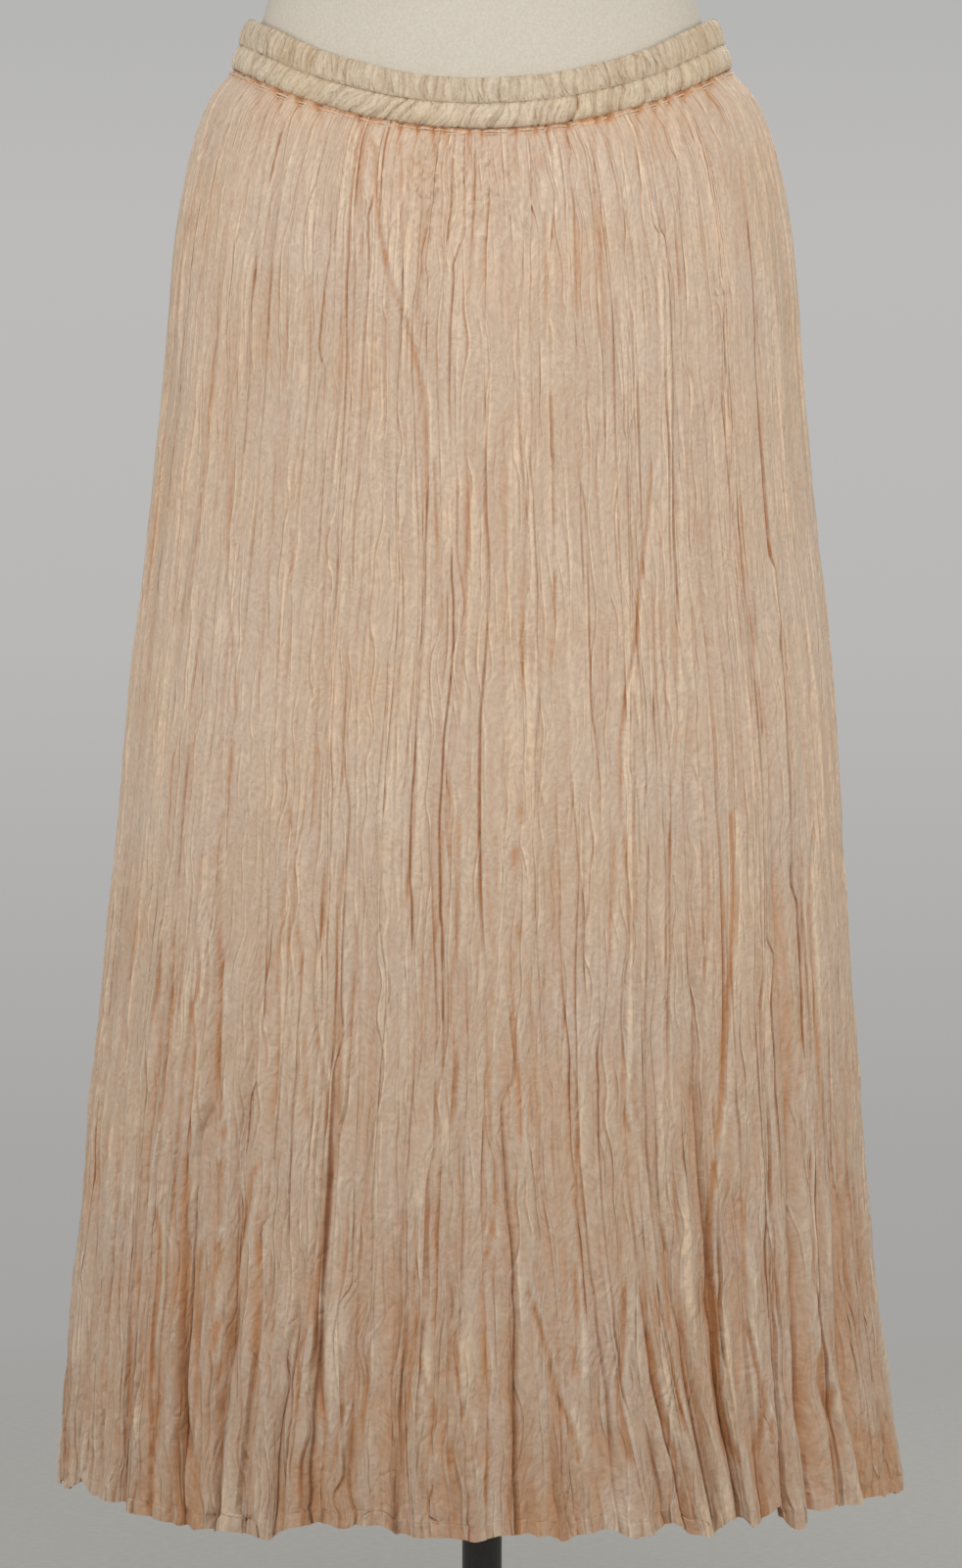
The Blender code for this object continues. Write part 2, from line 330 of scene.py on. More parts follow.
# where creases slant towards the hem: mm from the panel's middle, half width, share where it starts,
# mm at the hem
frontSlants = ((70, 75, 0.72, 17), (-110, 60, 0.55, -8), (190, 60, 0.7, -9), (-20, 40, 0.8, -6))
backSlants = ((-80, 80, 0.70, -15), (100, 60, 0.6, 9), (-190, 60, 0.7, 8), (20, 50, 0.8, 7))

# large folds: angle at the hem (degrees), share where it starts, depth at the hem (mm), and lean of the
# tongue after it (mm)
frontFolds = (
    (-84, 0.60, 6, 3),
    (-75, 0.45, 10, -3),
    (-66, 0.62, 7, 4),
    (-57, 0.35, 9, -3),
    (-50, 0.66, 7, 4),
    (-43.5, 0.28, 15, 5),
    (-37.5, 0.36, 12, -4),
    (-31, 0.62, 8, 3),
    (-26, 0.72, 7, -3),
    (-21.5, 0.45, 11, 4),
    (-15.5, 0.74, 6, 3),
    (-9.5, 0.68, 8, -3),
    (-4, 0.80, 5, 2),
    (2, 0.40, 9, 3),
    (8, 0.76, 6, -2),
    (14, 0.66, 9, 4),
    (19.5, 0.78, 7, -3),
    (23.5, 0.70, 9, 3),
    (29, 0.72, 10, -4),
    (35.5, 0.33, 15, -5),
    (41, 0.64, 8, 4),
    (47, 0.66, 8, -3),
    (53, 0.33, 13, 5),
    (60, 0.62, 8, -3),
    (68, 0.50, 10, 3),
    (78, 0.58, 8, -3),
)
backFolds = (
    (97, 0.58, 7, 3),
    (104, 0.45, 9, -3),
    (111, 0.66, 7, 3),
    (119, 0.35, 13, 5),
    (125, 0.70, 7, -3),
    (131, 0.62, 8, 3),
    (137, 0.52, 10, 4),
    (142, 0.74, 6, -2),
    (147, 0.38, 14, -5),
    (153, 0.68, 8, 3),
    (160, 0.60, 9, -3),
    (166, 0.74, 6, 3),
    (171, 0.70, 7, -3),
    (176, 0.34, 12, 4),
    (183, 0.70, 7, 3),
    (190, 0.56, 10, -4),
    (197, 0.72, 6, 3),
    (204, 0.30, 15, 5),
    (210, 0.66, 8, -3),
    (216, 0.74, 6, 3),
    (222, 0.60, 9, 3),
    (229, 0.68, 8, -3),
    (236, 0.38, 13, -4),
    (243, 0.70, 7, 3),
    (251, 0.48, 10, 4),
    (260, 0.62, 7, -3),
)

# creases drawn as seen from the front: depth and half width (mm), then (across, height) along it (mm)
frontCreases = (
    (1.5, 2.4, ((-66, 984), (-61, 972), (-61, 955), (-59, 928), (-53, 900), (-41, 865), (-33, 820),
        (-32, 760))),
    (0.9, 1.5, ((-47, 984), (-47, 955), (-46, 905), (-47, 850), (-44, 800))),
    (0.8, 1.4, ((-76, 986), (-72, 970), (-70, 950), (-69, 905))),
    (1.0, 1.6, ((-46, 974), (-38, 966), (-31, 959), (-26, 952))),
    (0.9, 1.4, ((-36, 968), (-27, 957), (-19, 952))),
    (0.7, 1.4, ((-44, 964), (-38, 952), (-33, 938))),
    (0.8, 1.5, ((-20, 982), (-17, 964), (-14, 952))),
    (0.8, 1.4, ((-17, 952), (-18, 944), (-14, 934))),
    (0.8, 1.5, ((-3, 966), (-5, 954), (-6, 926), (-8, 890))),
    (0.8, 1.5, ((11, 966), (15, 955), (17, 940))),
    (1.2, 1.5, ((33, 973), (34, 948), (35, 912), (34, 860))),
    (1.1, 1.6, ((63, 980), (63, 938), (66, 915), (70, 860))),
    (0.7, 1.6, ((52, 985), (55, 979), (59, 970))),
    (0.8, 1.6, ((10, 973), (4, 966), (9, 958))),
    (1.4, 1.9, ((-28, 800), (-26, 755), (-22, 690))),
    (1.2, 1.8, ((-8, 790), (-9, 740), (-12, 670), (-14, 640))),
    (1.0, 1.6, ((13, 800), (13, 755), (12, 670), (10, 625))),
    (1.2, 1.6, ((26, 800), (24, 740), (23, 690), (24, 620), (18, 560))),
    (1.0, 1.6, ((40, 790), (40, 720), (38, 660))),
    (1.6, 2.0, ((96, 800), (94, 770), (90, 735), (86, 690), (80, 660), (79, 620), (84, 560))),
    (1.2, 1.6, ((110, 790), (110, 720), (111, 650), (107, 600))),
    (1.0, 1.8, ((-25, 660), (-23, 640), (-18, 612), (-14, 560))),
    (1.2, 1.8, ((-37, 645), (-37, 612), (-42, 540))),
    (1.2, 2.0, ((-142, 800), (-146, 740), (-140, 660), (-146, 600))),
    (1.2, 2.0, ((-108, 760), (-110, 700), (-112, 640), (-106, 580))),
    (1.6, 2.4, ((-147, 600), (-148, 574), (-149, 531), (-147, 488), (-149, 460), (-146, 431), (-144, 402))),
    (1.4, 2.2, ((-159, 574), (-161, 524), (-159, 509), (-160, 495), (-163, 485), (-161, 465), (-162, 431),
        (-164, 400))),
    (1.2, 2.0, ((-109, 565), (-112, 531), (-114, 509), (-112, 482), (-112, 460), (-113, 438), (-117, 418))),
    (1.1, 1.8, ((-105, 574), (-105, 545), (-100, 514), (-100, 488), (-97, 465), (-96, 445), (-94, 417))),
    (1.1, 1.8, ((-86, 574), (-88, 538), (-92, 509), (-92, 488), (-88, 460), (-85, 445), (-83, 410))),
    (1.2, 2.2, ((-77, 574), (-80, 534), (-80, 509), (-78, 474), (-78, 438), (-77, 417))),
    (1.0, 1.8, ((-69, 540), (-69, 509), (-71, 481), (-70, 445))),
    (0.9, 1.6, ((-176, 552), (-176, 509), (-174, 488), (-175, 466))),
    (1.0, 1.8, ((-193, 574), (-197, 531), (-200, 505), (-200, 485))),
    (1.1, 1.8, ((-21, 590), (-22, 545), (-28, 509), (-29, 480))),
    (1.2, 2.0, ((-12, 600), (-12, 531), (-15, 502), (-15, 481), (-12, 452), (-13, 417))),
    (2.0, 3.0, ((143, 600), (145, 545), (144, 509), (142, 481), (141, 452), (140, 431), (137, 402))),
    (1.6, 3.0, ((192, 590), (190, 545), (192, 516), (194, 488), (197, 459), (200, 431), (203, 402))),
    (1.2, 2.0, ((185, 574), (186, 538), (185, 502), (186, 467), (184, 431))),
    (1.2, 2.0, ((9, 590), (9, 531), (8, 502), (7, 459), (8, 417), (12, 394), (10, 366), (5, 338),
        (6, 295), (8, 266))),
    (1.2, 2.0, ((19, 580), (23, 538), (19, 509), (21, 474), (24, 445), (25, 402))),
    (1.0, 1.8, ((41, 580), (43, 531), (42, 495), (41, 470))),
    (1.1, 1.8, ((76, 590), (75, 538), (73, 495))),
    (1.2, 1.8, ((84, 559), (85, 524), (83, 488), (83, 438), (90, 409))),
    (1.1, 1.8, ((108, 590), (106, 531), (107, 495), (110, 474))),
    (1.1, 1.8, ((130, 580), (131, 531), (128, 495), (129, 459))),
    (0.9, 1.6, ((165, 509), (160, 481), (157, 445))),
    (0.9, 1.6, ((28, 509), (32, 467), (36, 417))),
    (2.0, 3.4, ((-165, 404), (-167, 352), (-169, 309), (-170, 266), (-168, 226))),
    (1.5, 1.8, ((-159, 366), (-160, 330), (-161, 295), (-163, 266), (-167, 231))),
    (1.6, 2.6, ((-146, 404), (-148, 352), (-151, 316), (-149, 281), (-147, 259), (-145, 223))),
    (1.5, 3.0, ((-123, 402), (-129, 373), (-135, 345), (-137, 332))),
    (1.2, 1.8, ((-142, 316), (-143, 288), (-146, 273))),
    (1.2, 2.2, ((-122, 373), (-123, 330), (-124, 295), (-127, 262))),
    (1.8, 3.0, ((-82, 400), (-86, 352), (-90, 323), (-88, 281), (-88, 252))),
    (1.2, 2.0, ((-95, 309), (-99, 288), (-100, 252))),
    (1.4, 2.6, ((-195, 340), (-195, 302), (-196, 266), (-196, 231))),
    (1.2, 2.6, ((-182, 373), (-181, 338), (-185, 302), (-188, 266))),
    (1.4, 2.4, ((-75, 270), (-80, 245), (-85, 224))),
    (1.1, 1.8, ((-60, 302), (-62, 273), (-66, 245))),
    (1.2, 1.8, ((-34, 350), (-31, 302), (-25, 273), (-19, 252))),
    (1.2, 2.0, ((-11, 309), (-9, 273), (-4, 252), (2, 226))),
    (1.5, 2.2, ((28, 335), (39, 302), (47, 273), (55, 252), (60, 226))),
    (1.3, 2.0, ((57, 345), (58, 302), (60, 273))),
    (1.6, 3.0, ((85, 335), (83, 302), (80, 273), (83, 245), (86, 226))),
    (1.3, 2.0, ((107, 366), (109, 330), (110, 295), (114, 266), (117, 245))),
    (1.5, 3.0, ((97, 309), (103, 273), (109, 245), (114, 226))),
    (2.2, 3.2, ((137, 404), (135, 352), (139, 309), (140, 273), (145, 245), (152, 226))),
    (1.5, 1.8, ((154, 312), (160, 281), (166, 252), (172, 226))),
    (1.2, 2.0, ((152, 380), (152, 352), (156, 323))),
    (2.0, 3.0, ((192, 402), (192, 359), (194, 330), (199, 302), (197, 281), (199, 252))),
    (1.3, 2.4, ((165, 266), (159, 231))),
    (1.4, 2.6, ((206, 270), (203, 235))),
)
backCreases = (
    (1.4, 2.2, ((70, 1010), (64, 985), (66, 940), (58, 890), (50, 820))),
    (1.0, 1.6, ((44, 1008), (44, 960), (46, 900), (42, 820))),
    (1.2, 1.8, ((-38, 1006), (-42, 950), (-36, 880), (-40, 780))),
    (0.9, 1.5, ((20, 1000), (13, 990), (6, 980))),
    (0.9, 1.5, ((-12, 998), (-18, 986), (-16, 972))),
    (1.4, 2.0, ((-96, 860), (-92, 780), (-98, 700), (-90, 620))),
    (1.5, 2.2, ((120, 800), (124, 720), (118, 640), (126, 540))),
    (1.4, 2.0, ((14, 760), (10, 680), (16, 600), (12, 500))),
    (1.3, 2.0, ((-150, 700), (-156, 620), (-150, 520), (-158, 420))),
    (1.4, 2.2, ((80, 540), (86, 460), (80, 380), (88, 300))),
    (1.5, 2.4, ((-60, 520), (-66, 440), (-60, 360), (-70, 280))),
    (1.5, 2.4, ((170, 520), (174, 430), (170, 340))),
    (1.2, 2.2, ((-110, 380), (-120, 310), (-128, 240))),
)


# Rows from the waist seam to the hem, closer at both ends, and those of the turning inside the hem
def rowShares():
    length = body["seamFrontZ"] - body["hemSideZ"]
    gathered = 0.11  # the share under the waist seam where the rows lie closer
    top = np.linspace(0, gathered, 36, endpoint=False)
    middle = np.linspace(gathered, 1 - 12 * mm / length, 156)
    edge = 1 - np.array(skirt["hemRows"]) * mm / length
    inside = 1 - np.array([height for height, inset, row in skirt["turning"]]) * mm / length
    return np.concatenate((top, middle, edge)), inside


# Uneven values that drift from one crease to the next over so many creases
def alongRow(random, count, span):
    knots = random.normal(0, 1, count // span + 3)
    return np.interp(np.arange(count) / span, np.arange(len(knots)), knots)[:, None]


# Where the creases run, from 0 at one side seam to 1 at the other, and how deep each is, row by row
def creaseLines(random, share):
    count, rows = skirt["creases"], len(share)
    crowd = alongRow(random, count, 4)
    widths = np.exp(random.normal(0, skirt["widthSpread"], (count, 1)) - 0.12 * crowd)
    base = np.cumsum(widths, axis=0)[:-1] / widths.sum()
    pitch = 1 / count
    region = crumple(base * 9 + 40, share[None, :] * 6, 1, 1, int(random.integers(1000)))
    longBends = brokenLines(random, count - 1, rows, 12)
    shortBends = brokenLines(random, count - 1, rows, 45)
    lines = base + pitch * (0.7 * longBends + 0.12 * shortBends + 0.7 * region)
    deep = np.exp(random.normal(0, skirt["depthSpread"], (count - 1, 1)) + 0.15 * crowd[1:])
    deep = deep * np.clip(0.3 + 1.3 * brokenLines(random, count - 1, rows, 22), 0.0, 1.7)
    order = np.argsort(lines, axis=0)
    lines, deep = np.take_along_axis(lines, order, 0), np.take_along_axis(deep, order, 0)
    even = np.linspace(0, 1, count + 1)[1:-1, None]
    lines = np.clip(lines * 0.92 + even * 0.08, 0.002, 0.998)
    edge = np.zeros((1, rows))
    lines = np.concatenate((edge, lines, edge + 1))
    deep = np.concatenate((edge + 1, deep, edge + 1)) * skirt["depth"]
    return lines, np.minimum(deep, skirt["deepest"])


# The points of each crease and of the strip after it: places, depths (mm), the creases' part of them and
# their lean, and which point each crease starts at
def clothBetween(random, lines, deep, arc):
    count, rows = len(lines) - 1, lines.shape[1]
    width = np.diff(lines, axis=0) * arc / mm
    spare = skirt["columns"] - 4 * count
    points = 4 + np.round(spare * width.mean(axis=1) / width.mean(axis=1).sum()).astype(int)
    starts = np.concatenate(([0], np.cumsum(points)))
    place = np.zeros((starts[-1] + 1, rows))
    creased, tilted, lean = np.zeros_like(place), np.zeros_like(place), np.zeros_like(place)
    # a crease fades where the cloth beside it is narrow
    nearby = np.minimum(np.vstack((width[:1], width)), np.vstack((width, width[-1:])))
    deep = np.minimum(deep, 0.2 + 0.5 * nearby)
    wallShare = 0.27  # of a narrow strip
    wall = np.minimum(wallShare * width, skirt["wallWidth"])
    half = 0.5 * np.clip(skirt["tilt"] * 1.6 * brokenLines(random, count, rows, 7) * width, -1.4, 1.4)
    lips = skirt["lip"] * np.clip(brokenLines(random, 2 * count, rows, 8) * 1.5 + 0.5, 0, 1.8)
    lipReach = 1.6  # mm
    for i in range(count):
        across = np.linspace(0, 1, points[i] - 1)[:, None]
        inside = slice(starts[i] + 1, starts[i + 1])
        flat = width[i] - 2 * wall[i]
        place[inside] = lines[i] + (wall[i] + flat * across) * mm / arc
        fromLeft, fromRight = np.exp(-across * flat / lipReach), np.exp(-(1 - across) * flat / lipReach)
        left, right = 0.15 * deep[i] - lips[i], 0.15 * deep[i + 1] - lips[count + i]
        creased[inside] = left * fromLeft + right * fromRight
        tilted[inside] = half[i] * (1 - 2 * across)
    place[starts] = lines
    creased[starts] = deep
    walls = np.minimum(nearby * wallShare, skirt["wallWidth"])
    lean[starts] = 0.8 * walls * np.clip(2 * brokenLines(random, count + 1, rows, 6), -1, 1)
    return place, creased + tilted, creased, lean, starts


# Moves creases sideways where the cloth swings towards the hem
def slantCloth(place, share, arc, slants):
    x = (place - 0.5) * arc / mm
    moved = np.zeros_like(place)
    for centre, reach, start, amount in slants:
        grown = np.clip((share - start) / (1 - start), 0, 1) ** 1.3
        moved += amount * np.exp(-(((x - centre) / reach) ** 2)) * grown
    return place + moved * mm / arc


# The large folds follow the nearest valley down: how far they draw the cloth in, and to which side it leans
def foldShape(folds, place, lines, starts, share, angleAt):
    hemAngles = np.degrees(np.interp(lines[:, -1], *angleAt))
    drawn, leaned = np.zeros_like(place), np.zeros_like(place)
    picks = sorted((int(np.abs(hemAngles - fold[0]).argmin()), fold) for fold in folds)
    noFold = (0.0, 0.0, 0.0, 0.0)
    edges = [(0, noFold)] + picks + [(len(lines) - 1, noFold)]
    for (a, first), (b, second) in zip(edges, edges[1:]):
        if b <= a:
            continue
        low, high = lines[a], lines[b]
        columns = slice(starts[a], starts[b] + 1)
        x = np.clip((place[columns] - low) / np.maximum(high - low, 1e-6), 0, 1)
        deepA, deepB = (
            skirt["foldShare"] * depth * mm * smoothStep(start, 1.02, share) ** 1.2
            for angle, start, depth, lean in (first, second)
        )
        arch = np.sin(np.pi * x)
        valleys = (deepA * (1 - x) + deepB * x) * (1 - arch) * np.clip((high - low) * 30, 0, 1)
        drawn[columns] = np.maximum(drawn[columns], valleys)
        wide = np.clip((high - low) * 16, 0, 1)
        leaned[columns] = first[3] * mm * wide * smoothStep(max(first[1], 0.45), 1.0, share) * arch
    return drawn, leaned


# the front hem's tongues and notches: mm across from the middle, and mm above the smooth hem line
frontHem = (
    (-240, 7), (-235, 14), (-229, 16), (-225, 6), (-214, 6), (-206, 2.5), (-191, 1), (-181, -1), (-171, -4),
    (-151, -3.5), (-146, -0.5), (-136, -3.5), (-125, -5.5), (-120, -4), (-115, 0), (-107, 3.5), (-95, 6),
    (-82, 4), (-72, 5.5), (-59, 7), (-51, 4), (-37, 2), (-22, 2), (-12, -0.5), (7, 0.5), (27, 1.5),
    (47, -0.5), (62, 1), (75, 4), (81, 0.5), (86, -3.5), (91, -1.5), (96, 1.5), (103, 5.5), (110, 7),
    (115, 4), (119, 0), (126, -3.5), (133, -3.5), (137, 1), (142, 4.5), (152, 4), (156, -1), (161, -0.5),
    (165, 4), (170, 11), (175, 5.5), (180, -5), (185, -7), (190, 4.5), (200, 2.5), (215, 4), (225, 4),
    (235, 2),
)
backHem = (
    (-238, 3), (-226, 5), (-220, -3), (-209, -4), (-203, 5), (-190, 4), (-184, -1), (-170, -5), (-164, 2),
    (-150, 4), (-144, 9), (-139, -4), (-131, -5), (-126, 3), (-110, 5), (-103, -2), (-88, -4), (-82, 4),
    (-66, 6), (-58, 1), (-40, 3), (-24, -2), (-8, 1), (12, 4), (24, 0), (38, -4), (44, 3), (60, 5),
    (66, -3), (79, -5), (84, 2), (98, 6), (105, 4), (110, -3), (122, -4), (128, 5), (141, 6), (147, -2),
    (158, -4), (163, 3), (176, 8), (181, -3), (192, -4), (197, 4), (212, 5), (218, -1), (230, 2), (238, 4),
)


# The listed creases: each is a thin trough with a low lip beside it
def drawCreases(creases, x, z, facing):
    moved = np.zeros_like(x)
    lowerEnd, upperEnd = skirt["creaseEnds"]
    leastFacing = skirt["leastFacing"]
    for depth, halfWidth, path in creases:
        path = np.array(path, float)[::-1] * mm
        low, high = path[0, 1], path[-1, 1]
        heights = np.linspace(low, high, 60)
        across = curveThrough(heights, path[:, 1], path[:, 0])
        slope = np.gradient(across, heights)
        near = (z > low) & (z < high) & (facing > leastFacing)
        offset = (x - np.interp(z, heights, across)) / np.maximum(facing, leastFacing)
        offset = offset / np.sqrt(1 + np.interp(z, heights, slope) ** 2)
        reach = halfWidth * mm
        fade = smoothStep(low, low + lowerEnd, z) * (1 - smoothStep(high - upperEnd, high, z))
        trough = np.clip(1 - np.abs(offset) / reach, 0, 1) ** 1.2
        lip = np.exp(-(((offset - 1.3 * reach) / reach) ** 2))
        moved += np.where(near, fade * depth * mm * (trough - 0.3 * lip), 0)
    return moved


# The front's lower creases again behind, the other way round and a little higher
def turnedCreases(creases):
    lower = [crease for crease in creases if crease[2][0][1] < 620]
    return [(depth, width, [(6 - 0.97 * x, z + 14) for x, z in path]) for depth, width, path in lower]


# More thin creases, as uneven as the listed ones
def randomCreases(random, facts):
    lowest, highest = facts["heights"]
    made = []
    for _ in range(facts["count"]):
        length = random.uniform(*facts["lengths"])
        top = random.uniform(lowest + length, highest)
        # they lie closer together near the waist
        x = random.uniform(-facts["across"], facts["across"]) * (0.62 + 0.38 * (highest - top) / 800)
        lean = random.normal(0, 0.03) + x * 0.00035
        heights = top - np.linspace(0, length, 5)
        across = x + lean * (top - heights) + np.cumsum(random.normal(0, 1.6, 5))
        depth, halfWidth = random.uniform(*facts["depths"]), random.uniform(*facts["halfWidths"])
        made.append((depth, halfWidth, tuple(zip(across, heights))))
    return made


# where the cloth bunches under the waist seam, seen from the front and from behind (mm from the middle)
frontBunches = (
    -128, -116, -104, -92, -69, -46, -36, -27, -21, -7, 0, 19, 30, 37, 48, 64, 71, 88, 98, 105, 114, 130,
)
backBunches = (
    -132, -121, -97, -90, -74, -58, -49, -33, -20, -6, 3, 17, 26, 44, 52, 68, 81, 90, 103, 118, 127, 136,
)


def bunchesAt(x, bunches):
    near = np.zeros_like(x)
    for bunch in bunches:
        near += np.exp(-(((x - bunch * mm) / skirt["bunchWidth"]) ** 2))
    return near


# The ring along which a panel's creases are spaced: its length, and the angle at each share of it
def clothRing(centre):
    angles = np.linspace(centre - np.pi / 2, centre + np.pi / 2, 721)
    ring = np.array(body["rings"][skirt["clothRing"]][1:4]) * mm
    x, y, _, _ = oval(*ring, angles)
    lengths = lengthsAlong(x, y)
    return lengths[-1], (lengths / lengths[-1], angles)


# The crinkle: long narrow facets, one size over another, that bend a little and grow towards the hem
def crinkleRise(place, along, down, bend, share, seed):
    lower = smoothStep(*skirt["lowerPart"], share)
    rise = np.zeros_like(along)
    for k, (wide, tall, atWaist, atHem) in enumerate(skirt["facets"]):
        height = (atWaist + (atHem - atWaist) * lower) * mm
        strong = 0.75 + 0.5 * crumple(along, down, 45 * mm, 60 * mm, seed + 20 + k)
        rise += facets(along + bend, down, wide * mm, tall * mm, seed + 10 + k) * height * strong
    # the hem turns in and out a little between the folds
    flare = twoWaves(along, skirt["flareWaves"], 0.6, seed + 40)
    rise += flare * skirt["hemFlare"] * smoothStep(0.93, 1.0, share)
    # short slanting puckers under the waist seam, strongest at the centre
    central = np.exp(-(((place - 0.47) / 0.11) ** 2)) + 0.25
    pucker = facets(along + 0.9 * down, down - 0.5 * along, 7 * mm, 15 * mm, seed + 30)
    underSeam = smoothStep(0.0, 0.01, share) * (1 - smoothStep(0.03, 0.12, share))
    return rise + pucker * skirt["pucker"] * central * underSeam


# Painted shade and highlight: how deep each point lies in its fold, for the silk's colour, 0 on raised cloth
# and 2 in the deepest folds
def paintedFoldShade(creased, drawn, rise, troughs, knots, along, down, share, seed):
    lower = smoothStep(*skirt["lowerPart"], share)
    tone = 0.3 + 0.4 * np.clip(creased, -0.4, 2) + drawn / (18 * mm)
    # painted highlight on raised crinkle; troughs, and the cloth nearer the hem, are painted darker as shade
    tone = tone - (0.08 + 0.12 * lower) * np.clip(rise / mm, -1.2, 2)
    tone = tone + (0.4 + 0.2 * lower) * troughs / mm + 0.12 * lower
    # painted shade under the band: the cloth is painted darker along the waist seam, and most where it
    # bunches
    uneven = 0.7 + 0.7 * crumple(along, along * 0, 4 * mm, 1, seed + 9)
    tone = tone + (uneven + 1.6 * knots) * np.exp(-((down / (2.6 * mm)) ** 2))
    return tone + 0.5 * knots * np.exp(-down / (16 * mm))


def skirtPanel(name, centre, folds, creases, slants, hemSteps, bunches, seed):
    random = np.random.default_rng(seed)
    share, insideShare = rowShares()
    outerRows = len(share)
    arc, angleAt = clothRing(centre)
    lines, deep = creaseLines(random, share)
    place, depth, creased, lean, starts = clothBetween(random, lines, deep, arc)
    drawn, leaned = foldShape(folds, place, lines, starts, share, angleAt)
    place = slantCloth(place, share, arc, slants)
    drawnCreases = list(creases) + randomCreases(random, skirt["thinCreases"])

    rings = np.array(body["rings"])
    sizes = [curveThrough(share, rings[:, 0], rings[:, column]) * mm for column in (1, 2, 3)]
    relief = curveThrough(share, *np.array(skirt["relief"]).T)
    angle = np.interp(place, *angleAt)
    x, y, outX, outY = oval(*sizes, angle)
    # the first rows follow the waistband's lower edge
    seam = seamHeight(angle)
    seamX, seamY, _, _ = formPlan(seam, angle)
    first = oval(sizes[0][0], sizes[1][0], sizes[2][0], angle)
    gap = (seamX - first[0]) * outX + (seamY - first[1]) * outY + body["underBand"]
    settle = gap * (1 - smoothStep(0, 0.035, share))

    along = place * arc
    down = (share * (body["seamFrontZ"] - body["hemSideZ"]))[None, :] + np.zeros_like(place)
    tongues = np.interp(x[:, -1:] / mm, *np.array(hemSteps).T) * mm
    ruffle = twoWaves(along, skirt["ruffleWaves"], 0.6, seed + 5)[:, -1:] * skirt["hemRuffle"]
    hem = hemHeight(angle) + (tongues + ruffle) * smoothStep(0.88, 1.0, share)
    z = seam + (hem - seam) * share

    bend = sum(
        crumple(along, down, wide * mm, tall * mm, seed + 1 + k) * push * mm
        for k, (wide, tall, push) in enumerate(skirt["bends"])
    )
    rise = crinkleRise(place, along, down, bend, share, seed)
    fadeTop = smoothStep(0.0, 0.012, share)
    facing = np.abs(outY)
    troughs = drawCreases(drawnCreases, x, z, facing) * fadeTop
    knots = bunchesAt(x, bunches)
    bunched = skirt["bunchDepth"] * knots * np.exp(-down / skirt["bunchLength"])
    inward = depth * relief * mm + drawn + bunched + 0.6 * troughs
    out = settle - inward + rise * fadeTop
    edgeFade = smoothStep(0, 0.02, place) * smoothStep(0, 0.02, 1 - place)
    sideways = (leaned + lean * relief * mm) * edgeFade
    sway = curveThrough(share, *np.array(body["sway"]).T) * mm
    x = x + outX * out - outY * sideways + sway
    y = y + outY * out + outX * sideways
    stitchRow = outerRows - len(skirt["hemRows"]) + skirt["hemRows"].index(skirt["stitchHeight"])
    x[:, stitchRow] -= outX[:, stitchRow] * skirt["hemStitch"]
    y[:, stitchRow] -= outY[:, stitchRow] * skirt["hemStitch"]

    points = np.zeros((len(place), outerRows + len(insideShare), 3))
    points[:, :outerRows] = np.stack((x, y, z), axis=2)
    for k, (height, inset, row) in enumerate(skirt["turning"]):
        points[:, outerRows + k, 0] = x[:, -row] - outX[:, -row] * inset * mm
        points[:, outerRows + k, 1] = y[:, -row] - outY[:, -row] * inset * mm
        points[:, outerRows + k, 2] = z[:, -row]
    obj = gridObject(name, points)

    # the painted shade and highlight of the folds, kept as an attribute for the silk's colour
    paintedShade = np.zeros(points.shape[:2])
    paintedShade[:, :outerRows] = paintedFoldShade(creased, drawn, rise, troughs, knots, along, down, share, seed)
    paintedShade[:, outerRows:] = paintedShade[:, [outerRows - 1]]
    setAttribute(obj, "paintedShade", paintedShade)

    # the UV map is the flat cloth, bent a little so that the small facets bend as well
    wanderX = 2.2 * mm * crumple(along, down, 15 * mm, 20 * mm, seed + 7)
    wanderY = 7 * mm * crumple(along, down, 12 * mm, 30 * mm, seed + 8)
    flat = np.zeros(points.shape[:2] + (2,))
    flat[:, :outerRows, 0] = place + (0.5 * bend + wanderX) / arc
    flat[:, :outerRows, 1] = 1 - share + wanderY / body["seamFrontZ"]
    flat[:, outerRows:] = flat[:, [outerRows - 1]]
    flat[:, outerRows:, 1] += 1 - insideShare
    setCoordinates(obj, flat)
    faceOut(obj)
    obj.data.shade_smooth()
    obj.data.set_sharp_from_angle(angle=math.radians(22))
    return obj


# Waistband

band = {
    "height": 29 * mm,
    "clearance": 0.5 * mm,
    "ease": 5 * mm,
    "columns": 620,
    # out from the form (mm) and share of the height, round the casing from its inner lower edge
    "profile": (
        (0.2, 0.03), (0.2, 0.5), (0.3, 0.93), (0.9, 0.985), (1.9, 1.0), (3.0, 0.985), (4.1, 0.945),
        (4.8, 0.88), (5.2, 0.8), (5.4, 0.72), (5.3, 0.64), (5.1, 0.58), (4.8, 0.535), (4.5, 0.512),
        (4.4, 0.497), (4.5, 0.48), (4.8, 0.455), (5.2, 0.41), (5.6, 0.34), (5.9, 0.26), (5.9, 0.18),
        (5.5, 0.11), (4.9, 0.055), (4.2, 0.02), (3.2, 0.0), (2.4, -0.01),
    ),
    "stitchAt": 0.497,  # share of the height where a stitched line parts the two channels
    "stitchWidth": 0.035,
    "upper": {"width": (1.6, 8), "depth": (0.3, 1.5)},
    "lower": {"width": (1.8, 11), "depth": (0.3, 1.7)},
    "facets": ((9, 18, 0.7), (4, 9, 0.35)),  # width, height, depth (mm)
    # how far the gathers lean over the lower channel, by angle from the centre front (degrees, mm)
    "lean": (
        (-90, 1), (-60, 3), (-25, 7), (0, 3.5), (25, 2), (60, 1), (90, 1), (120, -2), (180, 3), (240, 2),
        (270, 1),
    ),
}


